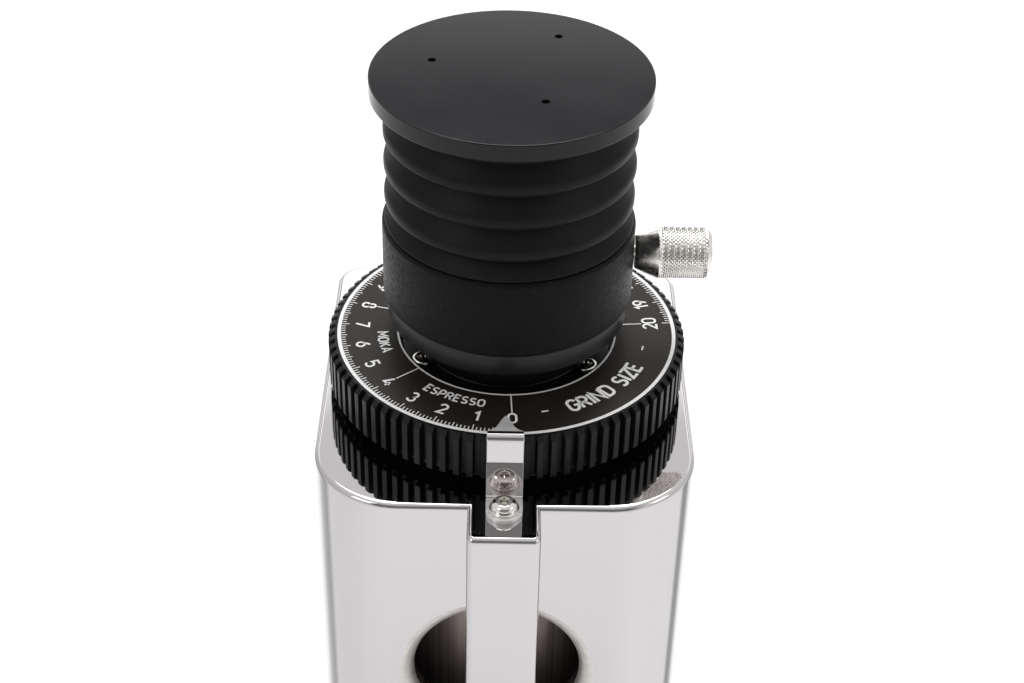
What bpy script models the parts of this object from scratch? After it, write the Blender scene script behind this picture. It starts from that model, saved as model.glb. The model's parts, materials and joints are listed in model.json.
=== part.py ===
"""A single-dose burr coffee grinder with a toothed setting ring, a hopper with a bellows and a
flat lid, a chute rib down the front and a dosing cup on the base.

Metres, +Z up, the floor at z = 0 under the feet and the origin at the middle of the footprint.
The front of the grinder faces -Y. Every piece hangs from an empty on the grinding axis, so the
plan dimensions below are measured from that axis and the heights from the floor.
"""

import math

import bmesh
import bpy
from mathutils import Matrix

# ---- Clearances and facets ----
GAP = 0.0003
EDGE_CHAMFER = 0.0005
FINE_SIDES = 36
ROUND_SIDES = 32
INNER_SIDES = 24
SMALL_SIDES = 16
SCREW_SIDES = 12
ARC_STEPS = 7
SMALL_ARC_STEPS = 3

# ---- Base and feet ----
FOOT_RADIUS = 0.011
FOOT_HEIGHT = 0.008
FOOT_X = 0.046
FOOT_FRONT_Y = -0.110
FOOT_REAR_Y = 0.050
BASE_FRONT = 0.140
BASE_THICKNESS = 0.012
BASE_EDGE_RADIUS = 0.002
MAT_HALF_WIDTH = 0.042
MAT_BACK_Y = -0.0755
MAT_FRONT_Y = -0.1370
MAT_CORNER = 0.010
MAT_THICKNESS = 0.0015

# ---- Housing ----
BODY_WIDTH = 0.1286
BODY_FRONT = 0.070
BODY_REAR = 0.070
FRONT_CORNER = 0.030
REAR_CORNER = 0.010
HOUSING_HEIGHT = 0.2314
HOUSING_WALL = 0.0015
HOUSING_EDGE_RADIUS = 0.002
CHUTE_WIDTH = 0.024
CHUTE_DEPTH = 0.016
CHUTE_CORNER = 0.0025
CHUTE_FLOOR = 0.138
WINDOW_HEIGHT = 0.1753
WINDOW_RADIUS = 0.029
WINDOW_LIP = 0.0045
WINDOW_RIM_DEPTH = 0.008
REAR_OPENING_HALF_WIDTH = 0.047
REAR_OPENING_LOW = 0.050
REAR_OPENING_HIGH = 0.225

# ---- Rear cover, inlet and switch ----
COVER_THICKNESS = 0.002
COVER_HALF_WIDTH = 0.054
COVER_MARGIN = 0.014
COVER_CORNER = 0.006
COVER_SCREW_INSET = 0.0037
VENT_COUNT = 6
VENT_HALF_WIDTH = 0.022
VENT_HEIGHT = 0.003
VENT_PITCH = 0.008
VENT_LOW = 0.160
INLET_HEIGHT = 0.075
INLET_HALF_WIDTH = 0.0135
INLET_HALF_HEIGHT = 0.0095
INLET_FLANGE = 0.003
INLET_FLANGE_THICKNESS = 0.003
INLET_DEPTH = 0.014
SOCKET_WALL = 0.0018
SOCKET_FLOOR = 0.002
PIN_SIZE = (0.001, 0.002)
PIN_SPREAD = 0.007
SWITCH_Y = 0.020
SWITCH_HEIGHT = 0.075
SWITCH_HALF_WIDTH = 0.0063
SWITCH_HALF_HEIGHT = 0.0093
SWITCH_FLANGE = 0.0012
SWITCH_FLANGE_THICKNESS = 0.0016
SWITCH_DEPTH = 0.014
SWITCH_WALL = 0.001
ROCKER_HALF_TURN = math.radians(8)

# ---- Chute, spout, fork and cup ----
DUCT_WALL = 0.0012
OUTLET_HALF_WIDTH = 0.008
OUTLET_HEIGHT = 0.014
OUTLET_WALL = 0.0015
SPOUT_Y = -0.106
SPOUT_HEIGHT = 0.024
SPOUT_RADIUS = 0.011
SPOUT_WALL = 0.0015
SPOUT_POINTS = 24
FORK_TOP = 0.090
FORK_THICKNESS = 0.004
FORK_HALF_WIDTH = 0.037
FORK_GAP_RADIUS = 0.0305
FORK_FRONT_Y = -0.124
FORK_SHOULDER_Y = -0.082
FORK_BACK_HALF_WIDTH = 0.022
FORK_BACK_HEIGHT = 0.022
FORK_SCREW_X = 0.013
CUP_RADIUS = 0.029
CUP_HEIGHT = 0.052
CUP_WALL = 0.0012
CUP_FLOOR = 0.002

# ---- Setting ring and scale ----
RING_LIFT = 0.0046
RING_HEIGHT = 0.0167
RING_RADIUS = 0.062
RING_BORE = 0.0375
TEETH = 84
TOOTH_DEPTH = 0.0024
TOOTH_SHARE = 0.45
TOOTH_FLANK = 0.06
DISC_RADIUS = 0.0589
DISC_BORE = 0.0374
DISC_THICKNESS = 0.0009

# ---- Pointer ----
POINTER_HALF_WIDTH = 0.006
POINTER_THICKNESS = 0.0015
POINTER_FRONT_Y = -(RING_RADIUS + 0.0040)
POINTER_FOOT_Y = POINTER_FRONT_Y - 0.0065
POINTER_SCREW_Y = POINTER_FOOT_Y
POINTER_SHOULDER_Y = POINTER_FRONT_Y + 0.0030
POINTER_TIP_Y = -(DISC_RADIUS - 0.0036)
POINTER_TAPER = ((0.0, 1.0), (0.12, 0.74), (0.3, 0.5), (0.7, 0.27))
POINTER_LIFT = 0.0035
POINTER_BEND = 0.0025

# ---- Grinding head ----
CHAMBER_RADIUS = 0.045
CHAMBER_FLANGE_RADIUS = 0.050
CHAMBER_BORE = 0.0333
CHAMBER_NECK = 0.0372
NECK_DROP = 0.0063
BURR_RADIUS = 0.027
BURR_EYE = 0.0125
BURR_THICKNESS = 0.0077
BURR_TOOTH_DEPTH = 0.0008
HOLDER_TOP_DROP = 0.009
HOLDER_EYE = 0.0125
UPPER_BURR_DROP = 0.0203
CARRIER_RADIUS = 0.031
CARRIER_THICKNESS = 0.0097
CARRIER_HUB = 0.009
CARRIER_HUB_HEIGHT = 0.005
SWEEPER_REACH = 0.0325
CHAMBER_FLOOR_DROP = 0.049
CHAMBER_FLOOR = 0.008

# ---- Motor ----
SHAFT_RADIUS = 0.005
BEARING_RADIUS = 0.0127
BEARING_HEIGHT = 0.0077
MOTOR_RADIUS = 0.052
MOTOR_HEIGHT = 0.133
MOTOR_WALL = 0.0015
MOTOR_TOP_PLATE = 0.002
MOTOR_TOP_BORE = 0.007
ROTOR_RADIUS = 0.031
ROTOR_LOW = 0.030
ROTOR_HIGH = 0.110
STATOR_BORE = 0.032
STATOR_LOW = 0.034
STATOR_HIGH = 0.106
END_CAP_THICKNESS = 0.003
END_CAP_BOSS = 0.016
STAND_RADIUS = 0.048
STAND_WALL = 0.003
STAND_FLANGE = 0.004
CAPACITOR_RADIUS = 0.0175
CAPACITOR_HEIGHT = 0.050

# ---- Hopper, gate, bellows and lid ----
COLLAR_FLANGE_RADIUS = 0.0366
COLLAR_FLANGE = 0.0025
COLLAR_NECK_RADIUS = 0.029
COLLAR_STEP_RADIUS = 0.0332
COLLAR_STEP_RISE = 0.001
COLLAR_RADIUS = 0.041
COLLAR_RISE = 0.0103
COLLAR_TOP = 0.0182
COLLAR_SCREW_CIRCLE = 0.0329
COLLAR_SCREW_ANGLES = (-32, -152, 88)
THROAT_RADIUS = 0.0168
HOPPER_RADIUS = 0.0424
HOPPER_LIP = 0.0014
HOPPER_SEAT_RADIUS = 0.0385
HOPPER_HEIGHT = 0.0284
FUNNEL_DEPTH = 0.0105
SPIGOT_RADIUS = 0.0353
SPIGOT_HEIGHT = 0.0036
SPIGOT_WALL = 0.002
GATE_RISE = 0.033
FLAP_CLEARANCE = 0.0005
FLAP_THICKNESS = 0.0016
GATE_SHAFT_RADIUS = 0.0025
GATE_SHAFT_LEFT = 0.0200
KNOB_END = 0.0683
KNOB_RADIUS = 0.0081
KNOB_NECK_RADIUS = 0.0049
KNOB_NECK_LENGTH = 0.0083
KNOB_CHAMFER = 0.0012
KNOB_SOCKET = 0.0135
BELLOWS_HEIGHT = 0.0461
BELLOWS_RADIUS = 0.0415
BELLOWS_BORE = 0.0356
GROOVE_COUNT = 3
GROOVE_FIRST = 0.0053
GROOVE_PITCH = 0.0119
GROOVE_DEPTH = 0.0040
GROOVE_HALF_HEIGHT = 0.0024
TOP_RING_BORE = 0.0273
TOP_RING_HEIGHT = 0.0055
LID_RADIUS = 0.0457
LID_THICKNESS = 0.0058
LID_PLUG_DEPTH = 0.003
LID_HOLE_RADIUS = 0.00135
LID_HOLE_DEPTH = 0.002
LID_HOLE_CIRCLE = 0.0259
LID_HOLE_OFFSET = 0.0056
LID_HOLE_ANGLES = (174, 54, -66)

# ---- Screws: head radius, head height, shank radius ----
BIG_SCREW = (0.0046, 0.00275, 0.0025)
COLLAR_SCREW = (0.0037, 0.0022, 0.0)
COVER_SCREW = (0.0028, 0.0017, 0.0015)

# ---- Heights worked out from the sizes above ----
BASE_LOW = FOOT_HEIGHT + GAP
BASE_TOP = BASE_LOW + BASE_THICKNESS
HOUSING_LOW = BASE_TOP + GAP
HOUSING_TOP = HOUSING_LOW + HOUSING_HEIGHT
RING_LOW = HOUSING_TOP + RING_LIFT
RING_TOP = RING_LOW + RING_HEIGHT
NECK_TOP = RING_TOP - NECK_DROP
COLLAR_LOW = NECK_TOP + GAP
HOPPER_LOW = RING_TOP + COLLAR_TOP + GAP
HOPPER_TOP = HOPPER_LOW + HOPPER_HEIGHT
BELLOWS_LOW = HOPPER_TOP + GAP
BELLOWS_TOP = BELLOWS_LOW + BELLOWS_HEIGHT
LID_LOW = BELLOWS_TOP + GAP
GATE_HEIGHT = RING_TOP + GATE_RISE
UPPER_BURR_TOP = RING_TOP - UPPER_BURR_DROP
LOWER_BURR_TOP = UPPER_BURR_TOP - BURR_THICKNESS - GAP
CARRIER_TOP = LOWER_BURR_TOP - BURR_THICKNESS - GAP
CHAMBER_INSIDE = RING_TOP - CHAMBER_FLOOR_DROP
CHAMBER_LOW = CHAMBER_INSIDE - CHAMBER_FLOOR
MOTOR_TOP = CHAMBER_LOW - GAP
MOTOR_LOW = MOTOR_TOP - MOTOR_HEIGHT
OUTLET_LOW = CHAMBER_INSIDE + OUTLET_WALL
OUTLET_HIGH = OUTLET_LOW + OUTLET_HEIGHT
DUCT_FRONT_Y = -(BODY_FRONT + CHUTE_DEPTH - HOUSING_WALL - GAP)
DUCT_BACK_Y = -(BODY_FRONT + GAP)
DUCT_HALF_WIDTH = CHUTE_WIDTH / 2 - HOUSING_WALL - GAP
COVER_LOW = REAR_OPENING_LOW - COVER_MARGIN
COVER_HIGH = REAR_OPENING_HIGH + COVER_MARGIN
COVER_OUTSIDE_Y = BODY_REAR + GAP + COVER_THICKNESS
INLET_OUTSIDE_Y = COVER_OUTSIDE_Y + GAP + INLET_FLANGE_THICKNESS
MAT_TOP = BASE_TOP + GAP + MAT_THICKNESS

# The grinding axis, placed so that the footprint's middle is the origin.
AXIS_X = (BODY_WIDTH / 2 - KNOB_END) / 2
AXIS_Y = (BASE_FRONT - INLET_OUTSIDE_Y) / 2

FINISHES = {
    "polished_steel": ((0.80, 0.79, 0.80), 0.06, 1.0),
    "dark_brushed_steel": ((0.22, 0.20, 0.19), 0.35, 1.0),
    "knurled_steel": ((0.74, 0.72, 0.69), 0.22, 1.0),
    "black_anodised": ((0.018, 0.018, 0.020), 0.45, 0.2),
    "gloss_black": ((0.010, 0.010, 0.011), 0.18, 0.0),
    "silicone": ((0.016, 0.016, 0.017), 0.55, 0.0),
    "textured_black": ((0.020, 0.020, 0.021), 0.62, 0.0),
    "rubber": ((0.02, 0.02, 0.02), 0.80, 0.0),
    "ring_black": ((0.017, 0.017, 0.018), 0.48, 0.0),
    "scale_print": ((0.030, 0.026, 0.024), 0.40, 0.0),
    "cast_aluminium": ((0.62, 0.62, 0.63), 0.45, 1.0),
    "burr_steel": ((0.50, 0.50, 0.51), 0.30, 1.0),
    "motor_steel": ((0.36, 0.36, 0.38), 0.50, 1.0),
    "windings": ((0.60, 0.28, 0.12), 0.45, 0.6),
    "black_plastic": ((0.025, 0.025, 0.026), 0.50, 0.0),
}


# ---- Scene helpers ----
def clear_scene():
    for thing in list(bpy.data.objects):
        bpy.data.objects.remove(thing, do_unlink=True)


def make_finish(name):
    colour, roughness, metallic = FINISHES[name]
    finish = bpy.data.materials.new(name)
    finish.use_nodes = True
    shader = finish.node_tree.nodes["Principled BSDF"]
    shader.inputs["Base Color"].default_value = (*colour, 1.0)
    shader.inputs["Roughness"].default_value = roughness
    shader.inputs["Metallic"].default_value = metallic
    finish.diffuse_color = (*colour, 1.0)
    return finish


def empty_at(name, place, parent=None):
    marker = bpy.data.objects.new(name, None)
    marker.empty_display_size = 0.01
    marker.location = place
    marker.parent = parent
    bpy.context.scene.collection.objects.link(marker)
    return marker


def solid(name, shape, finish=None, parent=None, turn=None):
    """A mesh object from (vertices, faces). With no finish it is a hidden cutter or guide."""
    mesh = bpy.data.meshes.new(name)
    mesh.from_pydata(shape[0], [], shape[1])
    if turn:
        mesh.transform(turn)
    shaped = bmesh.new()
    shaped.from_mesh(mesh)
    bmesh.ops.recalc_face_normals(shaped, faces=shaped.faces)
    shaped.to_mesh(mesh)
    shaped.free()
    mesh.shade_smooth()
    mesh.set_sharp_from_angle(angle=math.radians(32))
    thing = bpy.data.objects.new(name, mesh)
    thing.parent = parent or bpy.data.objects["grinder_axis"]
    bpy.context.scene.collection.objects.link(thing)
    if finish:
        mesh.materials.append(bpy.data.materials.get(finish) or make_finish(finish))
    else:
        thing.hide_render = True
        thing.display_type = "WIRE"
    return thing


def combine(target, other, operation):
    step = target.modifiers.new(f"{operation.lower()} {other.name}", "BOOLEAN")
    step.operation = operation
    step.solver = "EXACT"
    step.object = other


def cut(target, *cutters):
    for cutter in cutters:
        combine(target, cutter, "DIFFERENCE")


def fuse(target, *others):
    for other in others:
        combine(target, other, "UNION")


# ---- Shapes: each returns (vertices, faces) ----
def turned(profile, sides):
    """A closed profile of (radius, height) points turned about Z."""
    vertices = []
    rings = []
    for radius, height in profile:
        count = sides if radius else 1
        rings.append([len(vertices) + k % count for k in range(sides)])
        for k in range(count):
            angle = 2 * math.pi * k / sides
            vertices.append((radius * math.cos(angle), radius * math.sin(angle), height))
    return vertices, faces_between(rings, True)


def faces_between(rings, joined_round):
    """Quads, or triangles at a pole, between consecutive rings of vertex numbers."""
    faces = []
    sides = len(rings[0])
    for i in range(len(rings) if joined_round else len(rings) - 1):
        ring = rings[i]
        following = rings[(i + 1) % len(rings)]
        for k in range(sides):
            after = (k + 1) % sides
            corners = dict.fromkeys((ring[k], ring[after], following[after], following[k]))
            if len(corners) > 2:
                faces.append(list(corners))
    return faces


def lofted(loops, open_tube=False):
    """Equal loops of points joined in order, with end caps, or round into a tube wall."""
    sides = len(loops[0])
    vertices = [point for loop in loops for point in loop]
    rings = [list(range(i * sides, (i + 1) * sides)) for i in range(len(loops))]
    faces = faces_between(rings, open_tube)
    if not open_tube:
        faces += [rings[0][::-1], rings[-1]]
    return vertices, faces


def prism(outline, low, high):
    return lofted([[(x, y, z) for x, y in outline] for z in (low, high)])


def block(x_span, y_span, z_span):
    left, right = x_span
    front, back = y_span
    return prism([(left, front), (right, front), (right, back), (left, back)], *z_span)


def rod(radius, low, high):
    """The profile of a plain cylinder on the axis."""
    return [(0.0, low), (radius, low), (radius, high), (0.0, high)]


def arc(centre, radius, start, end, steps):
    """Points on a circle from one angle to another, in degrees."""
    points = []
    for k in range(steps + 1):
        angle = math.radians(start + (end - start) * k / steps)
        points.append((centre[0] + radius * math.cos(angle), centre[1] + radius * math.sin(angle)))
    return points


def rounded_box(half_width, front_y, back_y, front_radius, back_radius, inset=0.0):
    """Plan outline with large front corners and small back ones, drawn in by inset."""
    x = half_width - inset
    front = front_y + inset
    back = back_y - inset
    near = front_radius - inset
    far = max(back_radius - inset, GAP)
    return (
        arc((-x + near, front + near), near, 180, 270, ARC_STEPS)
        + arc((x - near, front + near), near, 270, 360, ARC_STEPS)
        + arc((x - far, back - far), far, 0, 90, SMALL_ARC_STEPS)
        + arc((-x + far, back - far), far, 90, 180, SMALL_ARC_STEPS)
    )


def top_rounded(outline, low, high, radius):
    """A prism of outline(inset) whose top edge is rounded to the radius."""
    loops = [[(x, y, low) for x, y in outline(0.0)]]
    for k in range(SMALL_ARC_STEPS + 1):
        angle = math.radians(90 * k / SMALL_ARC_STEPS)
        inset = radius * (1 - math.cos(angle))
        height = high - radius * (1 - math.sin(angle))
        loops.append([(x, y, height) for x, y in outline(inset)])
    return lofted(loops)


def along_x():
    return Matrix.Rotation(math.radians(90), 4, "Y")


def along_y():
    return Matrix.Rotation(math.radians(90), 4, "X")


def button_screw(size, shank_length, sides=SCREW_SIDES):
    """A domed head on z = 0 with a round socket, and a shank down from it."""
    radius, height, shank = size
    socket = radius * 0.34
    profile = [
        (0.0, height * 0.45),
        (socket, height * 0.45),
        (socket, height),
        (radius * 0.72, height * 0.78),
        (radius, height * 0.18),
        (radius, 0.0),
    ]
    if shank_length:
        profile += [(shank, 0.0), (shank, -shank_length), (0.0, -shank_length)]
    else:
        profile += [(0.0, 0.0)]
    return turned(profile, sides)


# ---- Base ----
def build_base():
    half = BODY_WIDTH / 2

    def outline(inset):
        return rounded_box(half, -BASE_FRONT, BODY_REAR, FRONT_CORNER, REAR_CORNER, inset)

    solid("base_plate", top_rounded(outline, BASE_LOW, BASE_TOP, BASE_EDGE_RADIUS), "polished_steel")
    places = {
        "foot_front_left": (-FOOT_X, FOOT_FRONT_Y),
        "foot_front_right": (FOOT_X, FOOT_FRONT_Y),
        "foot_rear_left": (-FOOT_X, FOOT_REAR_Y),
        "foot_rear_right": (FOOT_X, FOOT_REAR_Y),
    }
    foot = [
        (0.0, 0.0),
        (FOOT_RADIUS - BASE_EDGE_RADIUS, 0.0),
        (FOOT_RADIUS, BASE_EDGE_RADIUS),
        (FOOT_RADIUS, FOOT_HEIGHT),
        (0.0, FOOT_HEIGHT),
    ]
    for name, (x, y) in places.items():
        solid(name, turned(foot, SMALL_SIDES), "rubber").location = (x, y, 0)
    mat = rounded_box(MAT_HALF_WIDTH, MAT_FRONT_Y, MAT_BACK_Y, MAT_CORNER, MAT_CORNER)
    solid("cup_mat", prism(mat, BASE_TOP + GAP, MAT_TOP), "rubber")


# ---- Housing ----
def build_housing():
    half = BODY_WIDTH / 2
    inner_front = -(BODY_FRONT - HOUSING_WALL)
    rib_front = -(BODY_FRONT + CHUTE_DEPTH)
    rib_back = -(BODY_FRONT - 2 * WINDOW_RIM_DEPTH)

    def body(inset):
        return rounded_box(half, -BODY_FRONT, BODY_REAR, FRONT_CORNER, REAR_CORNER, inset)

    def rib(inset):
        return rounded_box(CHUTE_WIDTH / 2, rib_front, rib_back, CHUTE_CORNER, GAP, inset)

    housing = solid(
        "housing", top_rounded(body, HOUSING_LOW, HOUSING_TOP, HOUSING_EDGE_RADIUS), "polished_steel"
    )
    fuse(housing, solid("rib_form", top_rounded(rib, CHUTE_FLOOR, HOUSING_TOP, HOUSING_EDGE_RADIUS)))
    ceiling = HOUSING_TOP - HOUSING_WALL
    room = rounded_box(
        half - HOUSING_WALL,
        inner_front,
        BODY_REAR - HOUSING_WALL,
        FRONT_CORNER - HOUSING_WALL,
        REAR_CORNER - HOUSING_WALL,
    )
    rib_room_half = CHUTE_WIDTH / 2 - HOUSING_WALL
    cut(
        housing,
        solid("body_room", prism(room, HOUSING_LOW - BASE_THICKNESS, ceiling)),
        solid(
            "rib_room",
            block(
                (-rib_room_half, rib_room_half),
                (rib_front + HOUSING_WALL, rib_back - HOUSING_WALL),
                (CHUTE_FLOOR - HOUSING_WALL, ceiling),
            ),
        ),
    )
    neck = rod(CHAMBER_RADIUS + 2 * GAP, ceiling - HOUSING_WALL, HOUSING_TOP + HOUSING_WALL)
    neck_hole = solid("neck_hole", turned(neck, ROUND_SIDES))
    rear = block(
        (-REAR_OPENING_HALF_WIDTH, REAR_OPENING_HALF_WIDTH),
        (BODY_REAR - REAR_CORNER, BODY_REAR + REAR_CORNER),
        (REAR_OPENING_LOW, REAR_OPENING_HIGH),
    )
    side = block(
        (half - REAR_CORNER, half + REAR_CORNER),
        (SWITCH_Y - SWITCH_HALF_WIDTH - GAP, SWITCH_Y + SWITCH_HALF_WIDTH + GAP),
        (SWITCH_HEIGHT - SWITCH_HALF_HEIGHT - GAP, SWITCH_HEIGHT + SWITCH_HALF_HEIGHT + GAP),
    )
    cut(housing, neck_hole, solid("rear_opening", rear), solid("switch_opening", side))
    cut_window(housing)


def cut_window(housing):
    """The round window: a ring behind the front sheet, cut to a rolled lip."""
    outside = WINDOW_RADIUS + WINDOW_LIP
    behind = HOUSING_WALL / 2
    rim = [
        (WINDOW_RADIUS - WINDOW_LIP, behind),
        (outside + HOUSING_WALL, behind),
        (outside + HOUSING_WALL, WINDOW_RIM_DEPTH),
        (WINDOW_RADIUS - WINDOW_LIP, WINDOW_RIM_DEPTH),
    ]
    lip = [(0.0, -GAP / 4), (outside, -GAP / 4)]
    for k in range(SMALL_ARC_STEPS + 1):
        angle = math.radians(90 * k / SMALL_ARC_STEPS)
        lip.append((outside - WINDOW_LIP * math.sin(angle), WINDOW_LIP * (1 - math.cos(angle))))
    lip += [(WINDOW_RADIUS, 2 * WINDOW_RIM_DEPTH), (0.0, 2 * WINDOW_RIM_DEPTH)]
    into_body = Matrix.Rotation(math.radians(-90), 4, "X")
    ring = solid("window_rim", turned(rim, FINE_SIDES), turn=into_body)
    hole = solid("window_hole", turned(lip, FINE_SIDES), turn=into_body)
    for form in (ring, hole):
        form.location = (0, -BODY_FRONT, WINDOW_HEIGHT)
    fuse(housing, ring)
    cut(housing, hole)


# ---- Rear cover, inlet and switch ----
def build_rear():
    outside = [
        (x, z + (COVER_LOW + COVER_HIGH) / 2)
        for x, z in rounded_box(
            COVER_HALF_WIDTH,
            (COVER_LOW - COVER_HIGH) / 2,
            (COVER_HIGH - COVER_LOW) / 2,
            COVER_CORNER,
            COVER_CORNER,
        )
    ]
    loops = [[(x, y, z) for x, z in outside] for y in (BODY_REAR + GAP, COVER_OUTSIDE_Y)]
    cover = solid("rear_cover", lofted(loops), "black_anodised")
    through = (BODY_REAR - COVER_THICKNESS, COVER_OUTSIDE_Y + COVER_THICKNESS)
    for k in range(VENT_COUNT):
        low = VENT_LOW + k * VENT_PITCH
        slot = block((-VENT_HALF_WIDTH, VENT_HALF_WIDTH), through, (low, low + VENT_HEIGHT))
        cut(cover, solid(f"vent_{k + 1}", slot))
    inlet_half = (INLET_HALF_WIDTH + GAP, INLET_HALF_HEIGHT + GAP)
    hole = block(
        (-inlet_half[0], inlet_half[0]),
        through,
        (INLET_HEIGHT - inlet_half[1], INLET_HEIGHT + inlet_half[1]),
    )
    cut(cover, solid("inlet_hole", hole))
    build_cover_screws(cover)
    build_inlet()


def build_cover_screws(cover):
    x = COVER_HALF_WIDTH - COVER_SCREW_INSET
    corners = {
        "cover_screw_top_left": (-x, COVER_HIGH - COVER_CORNER),
        "cover_screw_top_right": (x, COVER_HIGH - COVER_CORNER),
        "cover_screw_bottom_left": (-x, COVER_LOW + COVER_CORNER),
        "cover_screw_bottom_right": (x, COVER_LOW + COVER_CORNER),
    }
    outwards = Matrix.Rotation(math.radians(-90), 4, "X")
    shank = COVER_SCREW[2]
    for name, (place_x, place_z) in corners.items():
        screw = solid(name, button_screw(COVER_SCREW, COVER_THICKNESS), "knurled_steel", turn=outwards)
        screw.location = (place_x, COVER_OUTSIDE_Y + GAP, place_z)
        bore = rod(shank + GAP, -2 * COVER_THICKNESS, GAP)
        hole = solid(f"{name}_hole", turned(bore, SCREW_SIDES), turn=outwards)
        hole.location = screw.location
        cut(cover, hole)


def build_inlet():
    """A three-pin mains socket snapped into the rear cover."""
    wide, tall = INLET_HALF_WIDTH, INLET_HALF_HEIGHT
    seat = COVER_OUTSIDE_Y + GAP
    flange = block(
        (-wide - INLET_FLANGE, wide + INLET_FLANGE),
        (seat, INLET_OUTSIDE_Y),
        (INLET_HEIGHT - tall - INLET_FLANGE, INLET_HEIGHT + tall + INLET_FLANGE),
    )
    inlet = solid("power_inlet", flange, "black_plastic")
    back = seat - INLET_DEPTH
    shell = block((-wide, wide), (back, seat + GAP), (INLET_HEIGHT - tall, INLET_HEIGHT + tall))
    fuse(inlet, solid("inlet_shell", shell))
    inside = (wide - SOCKET_WALL, tall - SOCKET_WALL)
    socket = block(
        (-inside[0], inside[0]),
        (back + SOCKET_FLOOR, INLET_OUTSIDE_Y + SOCKET_FLOOR),
        (INLET_HEIGHT - inside[1], INLET_HEIGHT + inside[1]),
    )
    cut(inlet, solid("inlet_socket", socket))
    pin_x, pin_z = PIN_SIZE
    for k, rise in ((-1, -pin_z), (0, pin_z), (1, -pin_z)):
        place = k * PIN_SPREAD
        pin = block(
            (place - pin_x, place + pin_x),
            (back + GAP, seat),
            (INLET_HEIGHT + rise - pin_z, INLET_HEIGHT + rise + pin_z),
        )
        fuse(inlet, solid(f"inlet_pin_{k + 2}", pin))


def build_switch():
    wall = BODY_WIDTH / 2
    wide, tall = SWITCH_HALF_WIDTH, SWITCH_HALF_HEIGHT
    flange_x = (wall + GAP, wall + GAP + SWITCH_FLANGE_THICKNESS)
    flange = block(
        flange_x,
        (SWITCH_Y - wide - SWITCH_FLANGE, SWITCH_Y + wide + SWITCH_FLANGE),
        (SWITCH_HEIGHT - tall - SWITCH_FLANGE, SWITCH_HEIGHT + tall + SWITCH_FLANGE),
    )
    frame = solid("switch_frame", flange, "black_plastic")
    shell = block(
        (wall - SWITCH_DEPTH, flange_x[0] + GAP),
        (SWITCH_Y - wide, SWITCH_Y + wide),
        (SWITCH_HEIGHT - tall, SWITCH_HEIGHT + tall),
    )
    fuse(frame, solid("switch_shell", shell))
    room = block(
        (wall - SWITCH_DEPTH + 2 * SWITCH_WALL, flange_x[1] + SWITCH_WALL),
        (SWITCH_Y - wide + SWITCH_WALL, SWITCH_Y + wide - SWITCH_WALL),
        (SWITCH_HEIGHT - tall + SWITCH_WALL, SWITCH_HEIGHT + tall - SWITCH_WALL),
    )
    cut(frame, solid("switch_room", room))
    pivot = empty_at("rocker_axis", (wall, SWITCH_Y, SWITCH_HEIGHT), bpy.data.objects["grinder_axis"])
    reach = tall - SWITCH_WALL - 2 * GAP
    face = flange_x[1] - wall
    outline = [
        (face, -reach),
        (face - SWITCH_WALL, 0.0),
        (face, reach),
        (-face, reach - face),
        (-2 * face, 0.0),
        (-face, face - reach),
    ]
    half = wide - SWITCH_WALL - GAP
    loops = [[(x, y, z) for x, z in outline] for y in (-half, half)]
    rocker = solid("switch_rocker", lofted(loops), "black_plastic", parent=pivot)
    rocker.rotation_euler.y = -ROCKER_HALF_TURN


# ---- Coffee path: chute duct, spout, fork and cup ----
def build_chute():
    duct_top = OUTLET_HIGH + CHUTE_CORNER + OUTLET_WALL
    shell = block((-DUCT_HALF_WIDTH, DUCT_HALF_WIDTH), (DUCT_FRONT_Y, DUCT_BACK_Y), (CHUTE_FLOOR, duct_top))
    duct = solid("chute_duct", shell, "black_plastic")
    inside = DUCT_HALF_WIDTH - DUCT_WALL
    bore = block(
        (-inside, inside),
        (DUCT_FRONT_Y + DUCT_WALL, DUCT_BACK_Y - DUCT_WALL),
        (CHUTE_FLOOR - DUCT_WALL, duct_top - DUCT_WALL),
    )
    entry = block(
        (-OUTLET_HALF_WIDTH, OUTLET_HALF_WIDTH),
        (DUCT_BACK_Y - 2 * DUCT_WALL, DUCT_BACK_Y + DUCT_WALL),
        (OUTLET_LOW, OUTLET_HIGH),
    )
    cut(duct, solid("duct_bore", bore), solid("duct_entry", entry))

    middle_y = -(BODY_FRONT + GAP + (CHUTE_DEPTH - GAP) / 2)
    half_depth = (CHUTE_DEPTH - GAP) / 2

    def section(share, wall):
        """A superellipse that turns from the rib's rectangle into the round mouth."""
        half_x = CHUTE_WIDTH / 2 + (SPOUT_RADIUS - CHUTE_WIDTH / 2) * share - wall
        half_y = half_depth + (SPOUT_RADIUS - half_depth) * share - wall
        centre_y = middle_y + (SPOUT_Y - middle_y) * share
        power = 2 / (8 - 6 * share)
        points = []
        for k in range(SPOUT_POINTS):
            angle = 2 * math.pi * (k + 0.5) / SPOUT_POINTS
            c, s = math.cos(angle), math.sin(angle)
            x = half_x * math.copysign(abs(c) ** power, c)
            y = half_y * math.copysign(abs(s) ** power, s)
            points.append((x, centre_y + y, CHUTE_FLOOR - GAP - SPOUT_HEIGHT * share))
        return points

    shares = (0.0, 0.5, 1.0)
    loops = [section(share, 0.0) for share in shares]
    loops += [section(share, SPOUT_WALL) for share in reversed(shares)]
    solid("spout", lofted(loops, open_tube=True), "gloss_black")


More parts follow.
